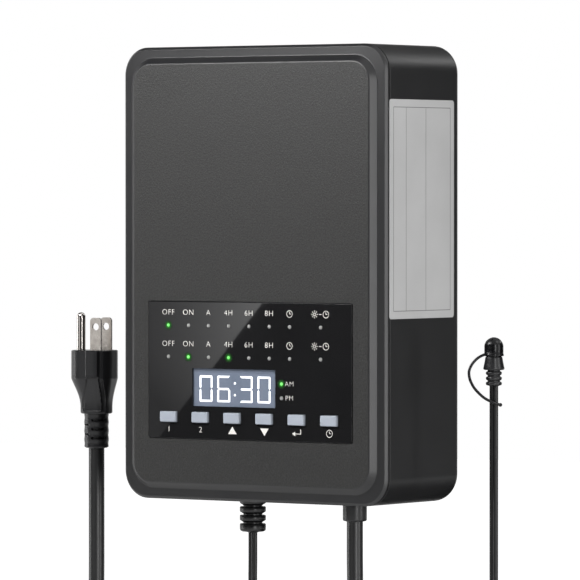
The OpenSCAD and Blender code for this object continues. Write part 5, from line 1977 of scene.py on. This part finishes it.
@dataclass
class LeadBushing:
    """Bushing moulded on the lead: a plain collar with an eased foot and a waist against the box."""

    box: Box
    x: float = 40.5
    r: float = 6.3
    l: float = 10.0
    neck_r: float = 5.2
    neck_up: float = 8.0
    waist_in: float = 0.5
    waist: Spot = (1.5, 1.9)
    foot_round: float = 1.0
    mouth: Spots = ((4.6, 0.0), (4.3, 0.35))

    def build(self) -> Piece:
        """Make the bushing, with its neck in the box.

        Returns:
            The bushing.
        """
        r, l, waist = self.r, self.l, self.r - self.waist_in
        profile = [(self.neck_r, self.neck_up), (self.neck_r, 0), (waist, 0)]
        profile += [(waist, -self.waist[0]), (r, -self.waist[1])]
        profile += [(r - inset, self.foot_round - l - up) for inset, up in roll(self.foot_round)]
        profile += [(mouth_r, -l - down) for mouth_r, down in self.mouth]
        place = Matrix.Translation((self.x, self.box.cord_y, self.box.bottom))
        obj = new_object("lead_collar", loft(turned(profile, place=place)))
        return dress(obj, PLUG_PVC, nodes=("lead_bushing",))


@dataclass
class SensorRelief:
    """Ribbed relief of the flat cord: four ribs that each taper in to a short neck."""

    box: Box
    x: float = -24.5
    r: float = 6.9
    neck: float = 5.0
    l: float = 17.8
    ribs: int = 4
    lock: Spots = ((5.2, 4.9), (7.0, 2.75), (5.2, 2.7), (5.2, 0.0))
    rib: Spots = ((0.35, 0.02), (0.0, 0.4), (0.0, 2.5), (0.25, 2.8))
    groove: Spots = ((0.3, 3.6), (0.0, 3.8))
    last_rib: Spots = ((0.35, 0.02), (0.0, 0.4), (0.0, 2.9))
    foot: Spots = ((0.3, 0.75), (1.2, 0.25))
    mouth: Spots = ((3.2, 0.0), (2.6, 0.3))

    def build(self) -> Piece:
        """Make the relief, with its snap lock in the box.

        Returns:
            The relief.
        """
        r, l, neck, pitch = self.r, self.l, self.neck, self.l / self.ribs
        profile = list(self.lock)
        for i in range(self.ribs - 1):
            z = -i * pitch
            profile += [(r - inset, z - down) for inset, down in self.rib]
            profile += [(neck + out, z - down) for out, down in self.groove] + [(neck, z - pitch)]
        z = (1 - self.ribs) * pitch
        profile += [(r - inset, z - down) for inset, down in self.last_rib]
        profile += [(r - inset, up - l) for inset, up in self.foot]
        profile += [(mouth_r, -l - down) for mouth_r, down in self.mouth]
        place = Matrix.Translation((self.x, self.box.cord_y, self.box.bottom))
        obj = new_object("relief_ribs", loft(turned(profile, place=place)))
        return dress(obj, PLUG_PVC, nodes=("sensor_relief",), crease=50)


@dataclass
class Plug:
    """Moulded plug: a rounded side round the pin, a raised grip plate, a groove and a dished lower panel.

    A row of slots gives its start and end round the relief in degrees, the depth of its first slot below the
    body, the pitch, the slots' height and their count.
    """

    at: Point = (-127.5, -35.0, -124.1)
    turn: float = 11.4
    long: float = 23.4
    wide: float = 22.0
    shift: float = -1.15
    corner: float = 8.5
    tall: float = 34.0
    straight: float = 15.0
    end_long: float = 16.4
    end_wide: float = 14.6
    end_r: float = 6.0
    relief_r: float = 6.5
    relief_l: float = 18.3
    plate_x: float = -0.8
    groove_x: float = 5.6
    groove_w: float = 2.2
    ledge: float = 14.1
    rows: int = 90
    points: int = 168
    top_ease: float = 0.5
    foot_ease: Spots = ((0.25, 0.35), (0.0, 1.1))
    foot_straight: float = 3.5
    taper_power: float = 1.15
    flank: Spot = (0.45, 0.8)
    plate_rise: float = 0.45
    plate_lap: Spot = (0.25, 0.05)
    plate_soft: float = 0.4
    groove_soft: float = 0.35
    ledge_soft: float = 0.3
    panel_deep: float = 0.8
    panel_spread: float = 4.6
    spread_end: float = 4.0
    panel_end: Spot = (2.4, 1.6)
    groove_end: Spot = (1.4, 0.8)
    bite: float = 3.0
    relief_foot: float = 0.8
    core_r: float = 3.0
    relief_steps: int = 28
    wave: float = 0.12
    wave_pitch: float = 4.6
    foot_edge: Spots = ((0.3, 0.35), (1.0, 0.0))
    mouth: Spots = ((4.6, 0.0), (4.25, 0.3))
    slot_r: Spot = (8.5, 4.9)
    slot_steps: int = 20
    slot_rows: tuple[tuple[float, float, float, float, float, int], ...] = (
        (-90, -21, 3.4, 4.75, 1.4, 3), (-141, -99, 5.75, 5.1, 0.9, 2), (90, 159, 3.4, 4.75, 1.4, 3),
    )

    def place(self) -> Matrix:
        """Where the plug goes: its top's centre, turned about the cord."""
        return Matrix.Translation(self.at) @ Matrix.Rotation(math.radians(self.turn), 4, "Z")

    def build(self) -> Piece:
        """Make the body and its relief as one moulding.

        Returns:
            The moulding.
        """
        levels = [self.tall * (i / self.rows) for i in range(self.rows + 1)]
        rings = [self.ring(0.0, self.top_ease)]
        rings += [self.ring(d, 0.0) for d in levels[1:-2]]
        rings += [self.ring(self.tall - up, inset) for up, inset in self.foot_ease]
        obj = new_object("plug_moulding", loft(rings))
        relief = loft(turned(self.relief_profile(), place=self.place()))
        carve(obj, [relief], Cut.ADD)
        carve(obj, self.slots(), Cut.TAKE)
        return dress(obj, PLUG_PVC, nodes=("plug_body",), crease=28)

    def taper(self, d: float) -> float:
        """Share of the way from the top's section to the foot's, at a depth below the top."""
        t = min(1.0, max(0.0, (d - self.straight) / (self.tall - self.foot_straight - self.straight)))
        return math.sin(t * math.pi / 2) ** self.taper_power

    def ring(self, d: float, inset: float) -> Ring:
        """Section of the body.

        Args:
            d: depth below the plug's top.
            inset: how far the section is drawn in.

        Returns:
            Its points.
        """
        t = self.taper(d)
        long = self.long + (self.end_long - self.long) * t - 2 * inset
        wide = self.wide + (self.end_wide - self.wide) * t - 2 * inset
        r = self.corner + (self.end_r - self.corner) * t - inset
        place = self.place()
        points = []
        for x, y in dense_rect(long, wide, r, self.points):
            x += self.shift * (1 - t)
            side = 1 if y > 0 else -1
            y -= side * self.dish(x, d) * smooth_step(*self.flank, abs(y) / (wide / 2))
            points.append(place @ Vector((x, y, -d)))
        return points

    def dish(self, x: float, d: float) -> float:
        """How deep the two wide faces are drawn in: plate, groove and lower panel.

        Args:
            x: place across the face.
            d: depth below the plug's top.

        Returns:
            The depth, below 0 where the plate stands proud.
        """
        plate, groove, ledge, tall = self.plate_x, self.groove_x, self.ledge, self.tall
        far = groove + self.groove_w
        soft, sharp = self.plate_soft, self.groove_soft
        left_of_groove = 1 - smooth_step(groove - self.plate_lap[0], groove + self.plate_lap[1], x)
        in_groove = smooth_step(groove, groove + sharp, x) * (1 - smooth_step(far - sharp, far, x))
        in_groove *= 1 - smooth_step(tall - self.groove_end[0], tall - self.groove_end[1], d)
        below = smooth_step(ledge, ledge + self.ledge_soft, d)
        on_plate = smooth_step(plate - soft, plate, x) * left_of_groove * (1 - below)
        edge = plate - self.panel_spread * smooth_step(ledge, tall - self.spread_end, d)
        in_panel = smooth_step(edge - soft, edge + soft, x) * left_of_groove * below
        in_panel *= 1 - smooth_step(tall - self.panel_end[0], tall - self.panel_end[1], d)
        return in_groove - self.plate_rise * on_plate + self.panel_deep * in_panel

    def relief_profile(self) -> list[Spot]:
        """The relief's turned outline, slightly waved between its slots.

        Returns:
            Radius and height of each ring.
        """
        top, foot, n = self.bite - self.tall, -self.tall - self.relief_l, self.relief_steps
        long = self.relief_l + self.bite - self.relief_foot
        profile = [(self.core_r, top)]
        for z in (top - long * i / n for i in range(n + 1)):
            wave = self.wave * math.cos(2 * math.pi * (z - foot) / self.wave_pitch)
            profile.append((self.relief_r + wave, z))
        profile += [(self.relief_r - inset, foot + up) for inset, up in self.foot_edge]
        return profile + [(mouth_r, foot - down) for mouth_r, down in self.mouth]

    def slots(self) -> list[Mesh]:
        """Cutters of the relief's slots: right of the front, left of it and behind.

        Returns:
            The cutters.
        """
        cuts = []
        for start, end, first, pitch, h, count in self.slot_rows:
            cuts += [self.slot(start, end, -self.tall - first - pitch * i, h) for i in range(count)]
        return cuts

    def slot(self, start: float, end: float, z: float, h: float) -> Mesh:
        """A cutter shaped as part of a flat ring.

        Args:
            start: where it starts round the relief, in degrees.
            end: where it ends.
            z: its middle's height.
            h: its height.

        Returns:
            The cutter.
        """
        n, (far, near) = self.slot_steps, self.slot_r
        angles = [math.radians(start + (end - start) * i / n) for i in range(n + 1)]
        outline = [(far * math.cos(a), far * math.sin(a)) for a in angles]
        outline += [(near * math.cos(a), near * math.sin(a)) for a in reversed(angles)]
        place = self.place()
        return loft([[place @ Vector((x, y, z + e * h / 2)) for x, y in outline] for e in (-1, 1)])


def dense_rect(w: float, h: float, r: float, count: int) -> list[Spot]:
    """Points evenly spaced along a rounded rectangle.

    Args:
        w: width.
        h: height.
        r: corner radius.
        count: number of points.

    Returns:
        The points, from the right side's middle, counter-clockwise.
    """
    corner_steps = 16
    outline = [Vector(p) for p in rounded_rect(w, h, r, corner_steps)]
    outline.append(outline[0])
    marks = [0.0]
    for a, b in zip(outline, outline[1:]):
        marks.append(marks[-1] + (b - a).length)
    points = []
    k = 0
    for i in range(count):
        at = marks[-1] * i / count
        while marks[k + 1] < at:
            k += 1
        share = (at - marks[k]) / max(1e-9, marks[k + 1] - marks[k])
        p = outline[k].lerp(outline[k + 1], share)
        points.append((p.x, p.y))
    return points


@dataclass
class LightSensor:
    """Light sensor on its cord: ribbed tail, skirt and nose, and the cap with its strap."""

    x: float = 126.4
    y: float = -35.0
    top: float = -113.5
    turn: float = 35.0
    cap_r: float = 5.0
    cap_h: float = 9.6
    strap_r: float = 0.72
    strap_sides: int = 14
    strap_parts: int = 4
    knob_sides: int = 20
    knob_r: float = 0.98
    dome_steps: int = 12
    dome_share: float = 0.985
    tip: Spot = (0.15, -0.01)
    bore: Spots = ((3.8, 6.3), (3.8, 0.1), (4.0, 0.0))
    lip: Spots = ((-0.1, 0.0), (0.08, 0.2), (0.08, 1.0), (-0.12, 1.25))
    nose: Spots = ((2.6, -5.15), (2.6, -3.75), (3.4, -3.75), (3.75, -4.1), (3.75, -9.75))
    skirt: Spots = (
        (4.0, -9.78), (4.25, -10.0), (4.4, -10.6), (4.75, -12.6), (5.2, -14.8), (5.4, -15.6),
        (5.42, -16.0), (5.2, -16.45), (4.7, -16.62),
    )
    ribs: int = 3
    rib_z: float = -16.65
    rib_pitch: float = 2.63
    rib: Spots = (
        (3.2, 0.12), (3.2, 0.6), (3.7, 0.78), (4.05, 1.15), (4.1, 1.65), (4.0, 2.15), (3.7, 2.5),
    )
    tail: Spots = ((3.2, -24.5), (2.9, -24.6), (2.3, -24.9))
    strap: Route = (
        (-4.7, 0, -8.8), (-6.9, -0.1, -9.8), (-9, -0.3, -11.3), (-11.1, -0.5, -13.7),
        (-12.4, -0.8, -16.4), (-12.7, -1.2, -18.5), (-12.2, -1.6, -21.5), (-10.5, -2.1, -25.1),
        (-8.1, -2.6, -28), (-5.1, -3, -30.7), (-1.9, -3.2, -32.5), (0.5, -3.2, -33.5),
        (3.2, -3, -34.3),
    )

    def place(self) -> Matrix:
        """Where the sensor goes: its top, turned about the cord."""
        turn = Matrix.Rotation(math.radians(self.turn), 4, "Z")
        return Matrix.Translation((self.x, self.y, self.top)) @ turn

    def build(self) -> list[Piece]:
        """Make the body and the cap."""
        return [self.body(), self.cap()]

    def body(self) -> Piece:
        """The ribbed body, from its nose down to its tail.

        Returns:
            The body.
        """
        profile = [*self.nose, *self.skirt]
        for i in range(self.ribs):
            z = self.rib_z - i * self.rib_pitch
            profile += [(r, z - down) for r, down in self.rib]
        profile += self.tail
        obj = new_object("sensor_moulding", loft(turned(profile, place=self.place())))
        return dress(obj, PLUG_PVC, nodes=("sensor_body",), crease=50)

    def cap(self) -> Piece:
        """The domed cap with its lip, the strap and the strap's round end.

        Returns:
            The cap.
        """
        r, foot, n = self.cap_r, -self.cap_h, self.dome_steps
        profile = [(bore_r, foot + up) for bore_r, up in self.bore]
        profile += [(r + out, foot + up) for out, up in self.lip] + [(r + self.lip[-1][0], -r)]
        angles = [math.pi / 2 * i / n for i in range(1, n)]
        profile += [(r * math.cos(a) * self.dome_share, -r + r * math.sin(a)) for a in angles] + [self.tip]
        place = self.place()
        dome = loft(turned(profile, place=place))
        line = [place @ p for p in smooth_route(self.strap, self.strap_parts)]
        strap = sweep(line, circle(self.strap_r, self.strap_sides), [0.0] * len(line))
        angles = [math.pi * i / n for i in range(1, n)]
        ball = [(self.knob_r * math.sin(a), -self.knob_r * math.cos(a)) for a in angles]
        knob = loft(turned(ball, self.knob_sides, Matrix.Translation(line[-1])))
        obj = new_object("sensor_cap_moulding", joined([dome, strap, knob]))
        return dress(obj, CAP_PVC, "sensor_cap_body", ("sensor_cap",), crease=50)


# The whole


@dataclass
class Transformer:
    """All the sub-assemblies, built in order."""

    box: Box = field(default_factory=Box)

    def build(self) -> None:
        """Make the cords first, then the box and what is on it."""
        lead, cord = MainsLead(), SensorCord()
        lead_tube, cord_tube = lead.build(), cord.build()
        lead_ties = CoilTies("lead_tie_bands", "lead_ties", lead.coil, lead.diameter, lead.diameter).build()
        cord_ties = CoilTies("sensor_tie_bands", "sensor_ties", cord.coil, cord.width, cord.thick).build()
        plug = Plug().build()
        sensor = LightSensor().build()
        nodes = frame["nodes"]
        lead.declare(lead_tube, [plug, nodes["plug_blades"], nodes["ground_pin"], lead_ties])
        cord.declare(cord_tube, [*sensor, cord_ties])
        panel = Panel(self.box)
        Housing(self.box).build()
        Cover(self.box, panel).build()
        panel.build()
        self.panel_parts(panel)
        SideLabel().build()
        LeadBushing(self.box).build()
        SensorRelief(self.box).build()
        dress_nodes()

    def panel_parts(self, panel: Panel) -> None:
        """Make what the panel carries.

        Args:
            panel: the plate with its places.
        """
        Clock(panel).build()
        StatusLights(panel).build()
        names = ("zone_1", "zone_2", "up", "down", "enter", "clock")
        for i, name in enumerate(names):
            PushButton(panel, f"cap_{name}", i, f"button_{name}", f"{name}_button").build()
        Legends(panel).build()


def main() -> None:
    """Build the scene."""
    logging.basicConfig(level=logging.INFO, format="%(name)s: %(message)s")
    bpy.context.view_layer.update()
    Studio().build()
    Transformer().build()


if __name__ == "__main__":
    main()
